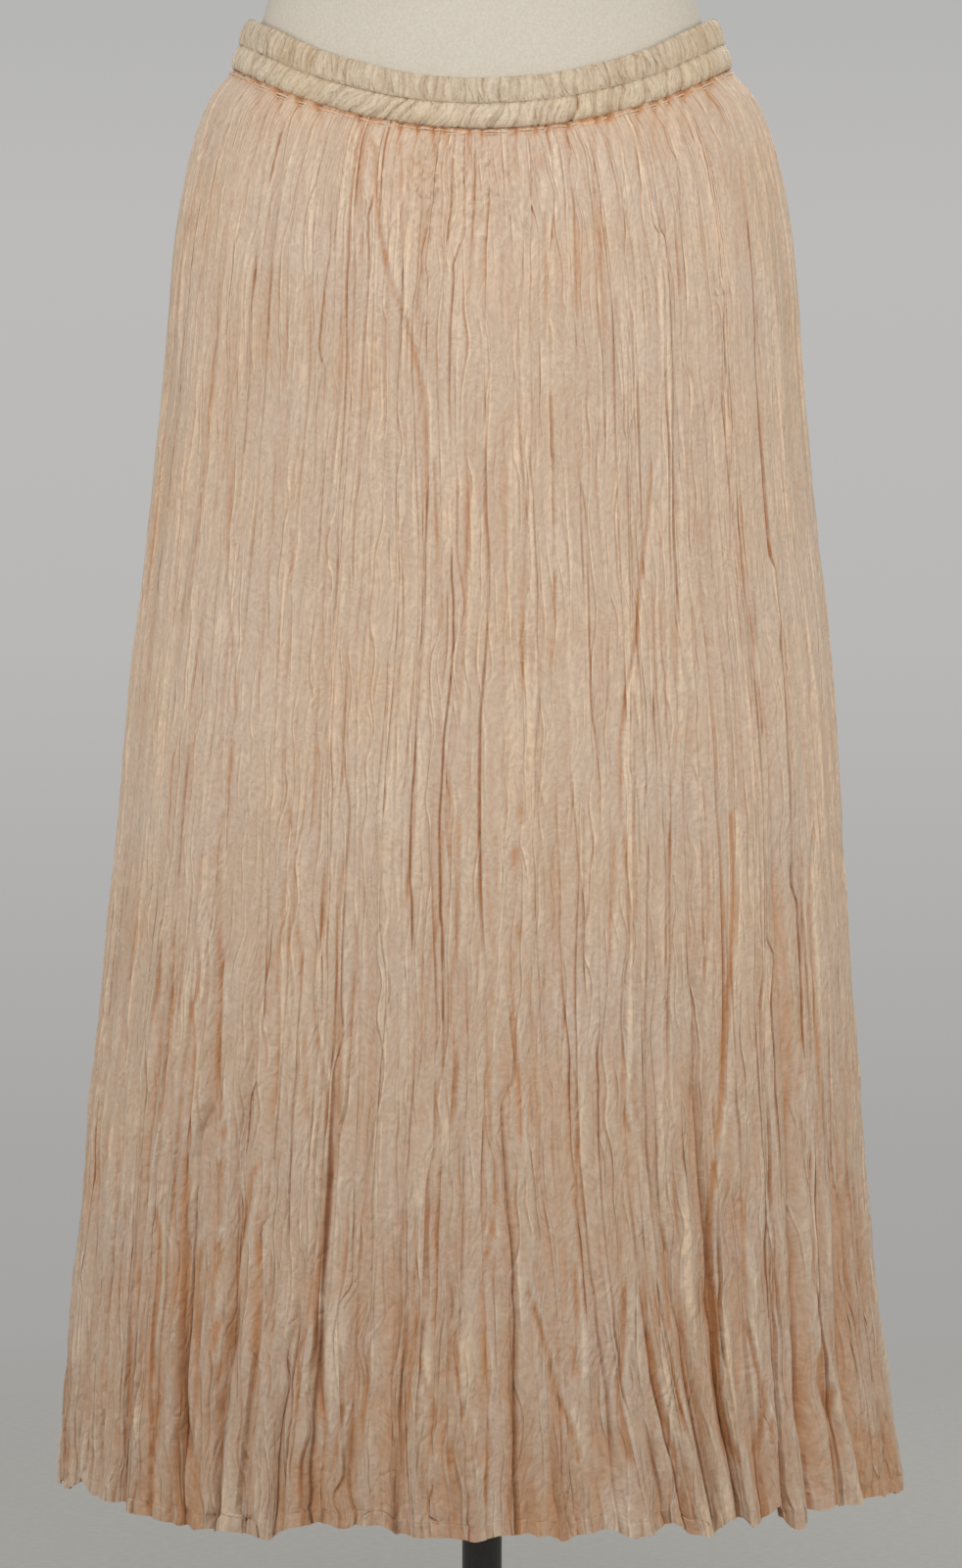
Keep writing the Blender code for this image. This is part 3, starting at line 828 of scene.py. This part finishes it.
# Sharp gathers with uneven strips of cloth between them, as heights along a line
def gatherProfile(random, length, width, depth):
    edges = [0.0]
    while edges[-1] < length:
        edges.append(edges[-1] + (random.uniform(0, 1) ** 1.5 * (width[1] - width[0]) + width[0]) * mm)
    edges = np.array(edges)
    x = np.arange(0, length, 0.1 * mm)
    i = np.clip(np.searchsorted(edges, x, side="right") - 1, 0, len(edges) - 2)
    fromLeft, fromRight = x - edges[i], edges[i + 1] - x
    deep = random.uniform(depth[0], depth[1], len(edges)) * mm
    tilt = random.normal(0, 0.12, len(edges))
    pinchReach = 0.6 * mm
    pinch = deep[i] * np.exp(-fromLeft / pinchReach) + deep[i + 1] * np.exp(-fromRight / pinchReach)
    return x, 0.4 * mm - pinch + tilt[i] * (fromLeft - fromRight) * 0.5


def bandHalf(name, centre, seed):
    random = np.random.default_rng(seed)
    angle = np.linspace(centre - np.pi / 2, centre + np.pi / 2, band["columns"])[:, None]
    profile = np.array(band["profile"])
    out, share = profile[:, 0] * mm, profile[:, 1]
    seam = seamHeight(angle) + 0.3 * mm
    footX, footY, outX, outY = formPlan(seam, angle)
    topX, topY, _, _ = formPlan(seam + band["height"], angle)
    ease = band["clearance"] + band["ease"] * np.sin(angle) ** 4
    footX, footY = footX + outX * band["clearance"], footY + outY * band["clearance"]
    topX, topY = topX + outX * ease, topY + outY * ease
    arc = lengthsAlong(footX[:, 0], footY[:, 0])[:, None]
    spare = 40 * mm
    upper = gatherProfile(random, arc[-1, 0] + 2 * spare, **band["upper"])
    lower = gatherProfile(random, arc[-1, 0] + 2 * spare, **band["lower"])
    lean = np.interp(np.degrees(angle), *np.array(band["lean"]).T) * mm
    isUpper = share > band["stitchAt"]
    shown = out > 1.5 * mm
    wobble = 0.7 * mm * np.sin(share * 9 + angle * 23)
    alongUpper = arc + spare + wobble
    alongLower = arc + spare - lean * (share / 0.5 - 0.5) * 2 + wobble
    rise = np.where(isUpper, np.interp(alongUpper, *upper), np.interp(alongLower, *lower))
    stitched = np.exp(-(((share - band["stitchAt"]) / band["stitchWidth"]) ** 2))
    height = share * band["height"] + 0 * arc
    for k, (wide, tall, deep) in enumerate(band["facets"]):
        cells = facets(arc + 0 * share - lean * share, height, wide * mm, tall * mm, seed + k)
        rise = rise + cells * deep * mm * (1 - stitched)
    rise = rise * (1 - 0.45 * stitched) * shown
    # the top edge ripples with the gathers
    ripple = np.interp(arc + spare, *upper)
    nearTop = smoothStep(0.8, 1.0, share) * (out < 5 * mm) + (out < 1 * mm) * (share > 0.9)
    x = footX * (1 - share) + topX * share + outX * (out + rise)
    y = footY * (1 - share) + topY * share + outY * (out + rise)
    tilt = crumple(arc + 0 * share, arc * 0 + 0 * share, 30 * mm, 1, seed + 3) * 0.5 * mm
    z = seam + band["height"] * share + np.clip(nearTop, 0, 1) * (ripple * 0.5 + 0.5 * mm) + tilt * share
    obj = gridObject(name, np.stack((x, y, z), axis=2))
    # painted shade: the pinched gathers and the stitched line between the channels are painted darker
    setAttribute(obj, "paintedShade", 0.2 + np.clip(-rise / (2.6 * mm), -0.2, 1) + 0.2 * stitched)
    places = np.zeros(rise.shape + (2,))
    places[:, :, 0] = np.where(isUpper, alongUpper, alongLower) / arc[-1, 0]
    places[:, :, 1] = np.linspace(0, 1, len(share))
    setCoordinates(obj, places)
    faceOut(obj)
    obj.data.shade_smooth()
    return obj


# Silk

silk = {
    # size: of the cloth that the UV map spans (mm)
    # colours: painted highlight and shade by how deep the cloth lies, from raised and flat cloth to folds and
    # the deepest folds
    # facets: width and length (mm), turn (degrees), how high their sides and ends stand at the waist (mm),
    # how many times that at the hem, and how far their tone varies
    # wrinkles: width, length (mm), turn (degrees), height at the waist (mm), how many times that at the hem
    # lines: spacing, usual length, wander (mm), turn (degrees), depth at the waist (mm), how many times that
    # at the hem, and the tone of their painted shade and highlight
    "skirt": {
        "name": "Peach crinkle silk",
        "size": (586, 800),
        "facets": ((9, 90, 0, 0.65, 0.6, 1.9, 0.07),),
        "wrinkles": ((5, 18, 12, 0.65, 1.9),),
        "lines": ((13, 90, 11, 0.5, 0.3, 1.6, 0.42), (6, 40, 8, -1.0, 0.2, 1.8, 0.3)),
        "colours": ((0.0, "#eed1b2"), (0.15, "#d4bba4"), (0.5, "#c8956d"), (1.0, "#b27c54")),
    },
    "casing": {
        "name": "Cream casing silk",
        "size": (400, 70),
        "facets": ((3.6, 12, 6, 0.5, 0.5, 1.0, 0.15),),
        "wrinkles": (),
        "lines": ((3.4, 9, 3, 0, 0.28, 1.0, 0.2), (5, 12, 4, 14, 0.28, 1.0, 0.16)),
        "colours": ((0.0, "#dfcbb0"), (0.15, "#cfb99d"), (0.5, "#b18d66"), (1.0, "#7d5939")),
    },
    "growsFrom": 0.55,  # share of the length over the hem under which the crinkle grows and the painted shade darkens the tone
    "fullAt": 0.1,  # and where the crinkle is fully grown
}


# The cloth's millimetres turned by some degrees and stretched, so that a cell measures wide by tall
def stretchCells(tree, cloth, wide, tall, turn):
    turned = addNode(tree, "Mapping", {"Vector": cloth, "Rotation": (0, 0, math.radians(turn))})
    return addNode(tree, "Mapping", {"Vector": turned, "Scale": (1 / wide, 1 / tall, 1)})


# Flat facets of the crinkle, each at its own tilt: their heights (mm) and how their tones differ
def crinkleFacets(tree, cloth, facts):
    wide, tall, turn, side, end, hemTimes, tint = facts
    cells = stretchCells(tree, cloth, wide, tall, turn)
    facet = addNode(tree, "TexVoronoi", {"Vector": cells, "Scale": 1.0}, voronoi_dimensions="2D")
    fromMiddle = addNode(tree, "VectorMath", {0: cells, 1: facet.outputs["Position"]}, operation="SUBTRACT")
    tilt = addNode(
        tree, "VectorMath",
        {0: facet.outputs["Color"], 1: (2 * side, 2 * end, 0), 2: (-side, -end, 0)},
        operation="MULTIPLY_ADD",
    )
    plane = addNode(tree, "VectorMath", {0: fromMiddle, 1: tilt}, operation="DOT_PRODUCT")
    # about half of the facets are darker, each to its own degree
    shade = addNode(
        tree, "MapRange",
        {
            "Value": facet.outputs["Color"], "From Min": 0.42, "From Max": 0.75,
            "To Min": -0.2 * tint, "To Max": tint,
        },
    )
    return plane.outputs["Value"], shade, hemTimes


# Small wrinkles between the creases: sharp valleys that run into one another
def smallWrinkles(tree, cloth, facts):
    wide, tall, turn, high, hemTimes = facts
    cells = stretchCells(tree, cloth, wide, tall, turn)
    wave = addNode(tree, "TexNoise", {"Vector": cells, "Scale": 1.0, "Detail": 1.0}, noise_dimensions="2D")
    fromZero = addNode(tree, "Math", {0: wave, 1: 0.5}, operation="SUBTRACT")
    fold = addNode(tree, "Math", {0: fromZero}, operation="ABSOLUTE")
    rise = addNode(tree, "Math", {0: fold, 1: 2 * high}, operation="MULTIPLY")
    # painted shade: the wrinkles' valleys are painted darker, the cloth between them a little paler
    shade = addNode(tree, "MapRange", {"Value": fold, "From Max": 0.15, "To Min": 0.1, "To Max": -0.04})
    return rise, shade, hemTimes


# Thin creases that start and stop, each a trough with a lip beside it: the trough painted darker as shade,
# the lip paler as a highlight
def thinLines(tree, cloth, facts):
    spacing, length, wander, turn, low, hemTimes, tint = facts
    turned = addNode(
        tree, "Mapping",
        {"Vector": cloth, "Rotation": (0, 0, math.radians(turn)), "Location": (31 * spacing, 17, 0)},
    )
    parts = addNode(tree, "SeparateXYZ", {"Vector": turned})
    # strips of cloth that drift sideways, with one crease somewhere in each
    slow = addNode(tree, "Mapping", {"Vector": turned, "Scale": (1 / 30, 1 / 90, 1)})
    drift = addNode(tree, "TexNoise", {"Vector": slow, "Scale": 1.0, "Detail": 1.6}, noise_dimensions="2D")
    moved = addNode(tree, "Math", {0: drift, 1: wander, 2: parts.outputs["X"]}, operation="MULTIPLY_ADD")
    strips = addNode(tree, "Math", {0: moved, 1: 1 / spacing}, operation="MULTIPLY")
    strip = addNode(tree, "Math", {0: strips}, operation="FLOOR")
    within = addNode(tree, "Math", {0: strips}, operation="FRACT")
    chance = addNode(tree, "TexWhiteNoise", {"W": strip}, noise_dimensions="1D")
    middle = addNode(tree, "MapRange", {"Value": chance.outputs["Value"], "To Min": 0.25, "To Max": 0.65})
    offset = addNode(tree, "Math", {0: within, 1: middle}, operation="SUBTRACT")
    offsetMm = addNode(tree, "Math", {0: offset, 1: spacing}, operation="MULTIPLY")
    # the trough is 1.5 mm wide, and the middle of its lip lies 1 mm beside it
    fromTrough = addNode(tree, "Math", {0: offsetMm}, operation="ABSOLUTE")
    toLip = addNode(tree, "Math", {0: offsetMm, 1: 1.0}, operation="SUBTRACT")
    fromLip = addNode(tree, "Math", {0: toLip}, operation="ABSOLUTE")
    trough = addNode(
        tree, "MapRange", {"Value": fromTrough, "From Max": 0.75, "To Min": 1.0, "To Max": 0.0}
    )
    lip = addNode(tree, "MapRange", {"Value": fromLip, "From Max": 0.85, "To Min": 0.95, "To Max": 0.0})
    shape = addNode(tree, "Math", {0: trough, 1: lip}, operation="SUBTRACT")
    # along each strip, a noise of its own says where the crease shows
    own = addNode(tree, "Math", {0: strip, 1: 7.3}, operation="MULTIPLY")
    down = addNode(tree, "Math", {0: parts.outputs["Y"], 1: 1 / length}, operation="MULTIPLY")
    stretch = addNode(tree, "CombineXYZ", {"X": own, "Y": down})
    broken = addNode(
        tree, "TexNoise", {"Vector": stretch, "Scale": 1.0, "Detail": 0.0}, noise_dimensions="2D"
    )
    strength = addNode(tree, "MapRange", {"Value": broken, "From Min": 0.4, "From Max": 0.7})
    line = addNode(tree, "Math", {0: shape, 1: strength}, operation="MULTIPLY")
    rise = addNode(tree, "Math", {0: line, 1: -low}, operation="MULTIPLY")
    shade = addNode(tree, "Math", {0: line, 1: tint}, operation="MULTIPLY")
    return rise, shade, hemTimes


# Habotai silk, garment-washed and crinkled: a dull soft sheen, with the warm light caught in the folds
# painted into its colour
def silkMaterial(facts):
    material, tree, shader = newMaterial(facts["name"])
    uv = addNode(tree, "UVMap")
    coordinates = addNode(tree, "TexCoord")
    upLength = addNode(tree, "SeparateXYZ", {"Vector": uv}).outputs["Y"]
    cloth = addNode(tree, "Mapping", {"Vector": uv, "Scale": facts["size"] + (1,)})
    # the small crumple of washed silk, from 3 mm down to 0.7 mm
    crumpled = addNode(
        tree, "TexNoise", {"Vector": cloth, "Scale": 0.36, "Detail": 2.0}, noise_dimensions="2D"
    )
    layers = [crinkleFacets(tree, cloth, facet) for facet in facts["facets"]]
    layers += [smallWrinkles(tree, cloth, wrinkle) for wrinkle in facts["wrinkles"]]
    layers += [thinLines(tree, cloth, line) for line in facts["lines"]]
    # heights in mm, and the painted shade's depth from 0 on raised cloth to 2 in the deepest folds
    height = addNode(tree, "Math", {0: crumpled, 1: 0.35}, operation="MULTIPLY")
    depth = addNode(tree, "Attribute", attribute_name="paintedShade").outputs["Fac"]
    for layerHeight, layerShade, hemTimes in layers:
        grown = addNode(
            tree, "MapRange",
            {
                "Value": upLength, "From Min": silk["growsFrom"], "From Max": silk["fullAt"],
                "To Min": 1.0, "To Max": hemTimes,
            },
        )
        height = addNode(tree, "Math", {0: layerHeight, 1: grown, 2: height}, operation="MULTIPLY_ADD")
        depth = addNode(tree, "Math", {0: depth, 1: layerShade}, operation="ADD")
    halved = addNode(tree, "Math", {0: depth, 1: 0.5}, operation="MULTIPLY")
    tone = addNode(tree, "ValToRGB", {"Fac": halved}, stops=facts["colours"])
    # the dye is a little stronger or weaker in patches of 60 mm
    patches = addNode(
        tree, "TexNoise", {"Vector": coordinates.outputs["Object"], "Scale": 16.0, "Detail": 1.0}
    )
    saturation = addNode(
        tree, "MapRange",
        {"Value": patches, "From Min": 0.3, "From Max": 0.7, "To Min": 0.93, "To Max": 1.08},
    )
    grain = addNode(
        tree, "MapRange",
        {"Value": crumpled, "From Min": 0.3, "From Max": 0.7, "To Min": 0.93, "To Max": 1.07},
    )
    # painted shade: the silk's colour is painted a shade darker towards the hem
    paintedHemShade = addNode(
        tree, "MapRange",
        {"Value": upLength, "From Min": silk["growsFrom"], "From Max": 0.05, "To Min": 1.0, "To Max": 0.85},
    )
    shade = addNode(tree, "Math", {0: grain, 1: paintedHemShade}, operation="MULTIPLY")
    # the base colour: painted fold shade and highlight, with dye patches, grain and the painted shade towards
    # the hem
    colourWithPaintedShade = addNode(tree, "HueSaturation", {"Color": tone, "Saturation": saturation, "Value": shade})
    bump = addNode(tree, "Bump", {"Height": height, "Strength": 1.0, "Distance": mm})
    setInputs(tree, shader, {
        "Base Color": colourWithPaintedShade, "Normal": bump, "Roughness": 0.5, "IOR": 1.45, "Specular IOR Level": 0.4,
        "Sheen Weight": 0.25, "Sheen Roughness": 0.5, "Sheen Tint": linearColour("#fbf3da"),
    })
    return material


print("cutting the skirt")
skirtFront = skirtPanel(
    "skirt_panel_front", 0.0, frontFolds, frontCreases, frontSlants, frontHem, frontBunches, seed=21
)
skirtBack = skirtPanel(
    "skirt_panel_back", np.pi, backFolds, list(backCreases) + turnedCreases(frontCreases), backSlants,
    backHem, backBunches, seed=35,
)
peachSilk = silkMaterial(silk["skirt"])
dressNode(skirtFront, peachSilk, "skirt_front")
dressNode(skirtBack, peachSilk, "skirt_back")

print("gathering the waistband")
bandFront = bandHalf("casing_front", 0.0, seed=51)
bandBack = bandHalf("casing_back", np.pi, seed=63)
creamSilk = silkMaterial(silk["casing"])
dressNode(bandFront, creamSilk, "waistband_front")
dressNode(bandBack, creamSilk, "waistband_back")

# Plain finishes of the seam threads, the form, its stand and the floor: all follow one fine noise

finishes = {
    # silk sewing thread: pale and slightly shiny; its 0.4 mm strands are drawn at 1.2 mm so that they show
    "thread": {
        "name": "Pale silk thread", "scale": 800.0, "detail": 1.0, "colours": ("#cda98a", "#ead0b4"),
        "bump": 0.5, "roughness": (0.5,),
    },
    # cotton jersey stretched over a padded form: matt, its 1 mm knit drawn at 1.6 mm so that it shows
    "jersey": {
        "name": "Ivory cotton jersey", "scale": 620.0, "detail": 3.0, "colours": ("#cfc6b7", "#dad2c4"),
        "bump": 0.3, "roughness": (0.85,), "specular": 0.25,
    },
    # powder-coated steel: dark grey and satin, with an orange-peel surface of 1.4 mm
    "steel": {
        "name": "Dark powder-coated steel", "scale": 700.0, "detail": 2.0, "colours": ("#3a3836", "#44423f"),
        "bump": 0.2, "roughness": (0.4, 0.55),
    },
    # ABS moulded in a spark-eroded mould: ivory and satin, its 0.5 mm grain drawn at 1.5 mm so that it shows
    "cap": {
        "name": "Ivory moulded ABS", "scale": 650.0, "detail": 2.0, "colours": ("#bdb5a6", "#c9c1b3"),
        "bump": 0.3, "roughness": (0.5, 0.65),
    },
    # seamless background paper: matt, its grain drawn at 8 mm so that it shows
    "paper": {
        "name": "Pale seamless paper", "scale": 120.0, "detail": 1.0, "colours": ("#b3b1ac", "#b9b7b2"),
        "bump": 0, "roughness": (0.9,), "specular": 0.1,
    },
}


# One of the plain finishes; a pair of roughnesses varies with the noise
def grainedMaterial(facts):
    material, tree, shader = newMaterial(facts["name"])
    coordinates = addNode(tree, "TexCoord")
    grain = addNode(
        tree, "TexNoise",
        {"Vector": coordinates.outputs["Object"], "Scale": facts["scale"], "Detail": facts["detail"]},
    )
    dark, light = facts["colours"]
    tone = addNode(tree, "ValToRGB", {"Fac": grain}, stops=((0.3, dark), (0.7, light)))
    smooth, rough = facts["roughness"][0], facts["roughness"][-1]
    setInputs(tree, shader, {"Base Color": tone, "Roughness": smooth})
    if rough > smooth:
        uneven = addNode(tree, "MapRange", {"Value": grain, "To Min": smooth, "To Max": rough})
        setInputs(tree, shader, {"Roughness": uneven})
    if facts["bump"]:
        bump = addNode(tree, "Bump", {"Height": grain, "Strength": facts["bump"], "Distance": 0.2 * mm})
        setInputs(tree, shader, {"Normal": bump})
    if "specular" in facts:
        setInputs(tree, shader, {"Specular IOR Level": facts["specular"]})
    return material


# Seam threads

thread = {
    "radius": 0.55 * mm,
    "steps": 900,
    "drops": (1.6, 3.0),  # mm below the waistband's edge
    "out": 5.5 * mm,
    "ripple": 0.35 * mm,
}


def seamThread(name, drop, seed, material):
    angle = np.linspace(0, 2 * np.pi, thread["steps"], endpoint=False)
    z = seamHeight(angle) - drop * mm
    x, y, outX, outY = formPlan(z, angle)
    steps = np.arange(float(thread["steps"]))
    # the threads sink into the cloth where it bunches
    knots = np.where(np.cos(angle) > 0, bunchesAt(x, frontBunches), bunchesAt(x, backBunches))
    wave = twoWaves(steps, (6, 3), 0.5, seed)
    out = thread["out"] + wave * thread["ripple"] - 2.5 * mm * np.clip(knots, 0, 1)
    z = z + crumple(steps, steps * 0, 5, 1, seed + 2) * thread["ripple"]
    curve = bpy.data.curves.new(name, "CURVE")
    curve.dimensions = "3D"
    curve.bevel_depth = thread["radius"]
    curve.bevel_resolution = 2
    spline = curve.splines.new("POLY")
    spline.points.add(len(angle) - 1)
    points = np.stack((x + outX * out, y + outY * out, z, np.ones_like(z)), axis=1)
    spline.points.foreach_set("co", points.ravel())
    spline.use_cyclic_u = True
    obj = bpy.data.objects.new(name, curve)
    bpy.context.scene.collection.objects.link(obj)
    clearSelection()
    bpy.context.view_layer.objects.active = obj
    obj.select_set(True)
    bpy.ops.object.convert(target="MESH")
    obj.data.materials.append(material)
    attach(obj, "root")


print("sewing the waist seam")
threadSilk = grainedMaterial(finishes["thread"])
for k, drop in enumerate(thread["drops"]):
    seamThread(f"seam_thread_{k + 1}", drop, 71 + 5 * k, threadSilk)


# Dress form and stand

# The form's solid, merged and rounded by two levels of subdivision
def coverForm():
    clearSelection()
    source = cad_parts["dress_form"]
    obj = bpy.data.objects.new("dress_form_cover", source.data.copy())
    bpy.context.scene.collection.objects.link(obj)
    obj.data.materials.clear()
    bpy.context.view_layer.objects.active = obj
    obj.select_set(True)
    bpy.ops.object.mode_set(mode="EDIT")
    bpy.ops.mesh.select_all(action="SELECT")
    bpy.ops.mesh.remove_doubles(threshold=0.00005)
    bpy.ops.mesh.tris_convert_to_quads(face_threshold=math.radians(60), shape_threshold=math.radians(60))
    bpy.ops.object.mode_set(mode="OBJECT")
    smooth = obj.modifiers.new("Round", "SUBSURF")
    smooth.levels = 2
    smooth.render_levels = 2
    bpy.ops.object.modifier_apply(modifier=smooth.name)
    obj.data.shade_smooth()
    return obj


print("covering the dress form")
formCover = coverForm()
dressNode(formCover, grainedMaterial(finishes["jersey"]), "dress_form")

steel = grainedMaterial(finishes["steel"])
for node, material in (
    ("stand_pole", steel), ("stand_base", steel), ("form_neck_cap", grainedMaterial(finishes["cap"])),
):
    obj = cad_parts[node]
    obj.data.materials.clear()
    obj.data.materials.append(material)

# Studio

studio = {
    "cameraDistance": 5.0,
    "cameraHeight": 0.75,
    "aimHeight": 0.61,
    "sensor": 36,  # mm
    "pictureHeight": 1600,  # pixels
    "mmPerPixel": 0.57,  # at the middle of the form
    "shift": -1,  # pixels: the skirt hangs one pixel right of the middle
    "floorFade": (1.5, 3.4),
    "lampTarget": (0, 0, 0.85),
    "floorSize": 16,
    "lamps": {
        "key": {"place": (0.0, -1.9, 2.35), "size": 0.6, "watts": 22},
        "left": {"place": (-2.4, -1.3, 1.3), "size": 1.0, "watts": 13},
        "right": {"place": (2.4, -1.3, 1.3), "size": 1.0, "watts": 14},
        "back": {"place": (0.9, 2.9, 2.2), "size": 1.8, "watts": 26},
    },
    # the grey round the scene, from far below the camera's level to just above it
    "greys": (
        (0.0, "#4c4b49"), (0.70, "#a09f9d"), (0.79, "#a7a6a4"), (0.88, "#b9b8b6"), (0.95, "#bcbbb9"),
        (1.0, "#b4b4b2"),
    ),
}


def aimAt(obj, target):
    obj.rotation_euler = (Vector(target) - obj.location).to_track_quat("-Z", "Y").to_euler()


def addCamera():
    eye = Vector((0, -studio["cameraDistance"], studio["cameraHeight"]))
    target = Vector((0, 0, studio["aimHeight"]))
    bpy.ops.object.camera_add(location=eye)
    camera = bpy.context.object
    aimAt(camera, target)
    camera.data.sensor_fit = "VERTICAL"
    camera.data.sensor_height = studio["sensor"]
    frameHeight = studio["pictureHeight"] * studio["mmPerPixel"] * mm
    camera.data.lens = studio["sensor"] * (target - eye).length / frameHeight
    camera.data.shift_x = studio["shift"] / studio["pictureHeight"]
    bpy.context.scene.camera = camera


def addLight(name, facts):
    bpy.ops.object.light_add(type="AREA", location=facts["place"])
    lamp = bpy.context.object
    lamp.name = name
    lamp.data.shape = "DISK"
    lamp.data.size = facts["size"]
    lamp.data.energy = facts["watts"]
    aimAt(lamp, studio["lampTarget"])


# A paper floor that fades into the surround
def addFloor():
    bpy.ops.mesh.primitive_plane_add(size=studio["floorSize"])
    floor = bpy.context.object
    floor.name = "studio_floor"
    material = grainedMaterial(finishes["paper"])
    tree = material.node_tree
    coordinates = addNode(tree, "TexCoord")
    distance = addNode(tree, "VectorMath", {0: coordinates.outputs["Object"]}, operation="LENGTH")
    near, far = studio["floorFade"]
    fade = addNode(
        tree, "MapRange",
        {"Value": distance.outputs["Value"], "From Min": near, "From Max": far},
        interpolation_type="SMOOTHSTEP",
    )
    clear = addNode(tree, "BsdfTransparent")
    mix = addNode(tree, "MixShader", {0: fade, 1: tree.nodes["Principled BSDF"], 2: clear})
    setInputs(tree, tree.nodes["Material Output"], {"Surface": mix})
    floor.data.materials.append(material)


def setWorld():
    world = bpy.data.worlds.new("Grey studio")
    bpy.context.scene.world = world
    world.use_nodes = True
    tree = world.node_tree
    coordinates = addNode(tree, "TexCoord")
    parts = addNode(tree, "SeparateXYZ", {"Vector": coordinates.outputs["Generated"]})
    height = addNode(tree, "MapRange", {"Value": parts.outputs["Z"], "From Min": -0.6, "From Max": 0.07})
    tone = addNode(tree, "ValToRGB", {"Fac": height}, stops=studio["greys"])
    setInputs(tree, tree.nodes["Background"], {"Color": tone, "Strength": 1.0})


addCamera()
for lampName, facts in studio["lamps"].items():
    addLight(lampName + "_softbox", facts)
addFloor()
setWorld()
bpy.context.scene.view_settings.view_transform = "Standard"
print("studio set")
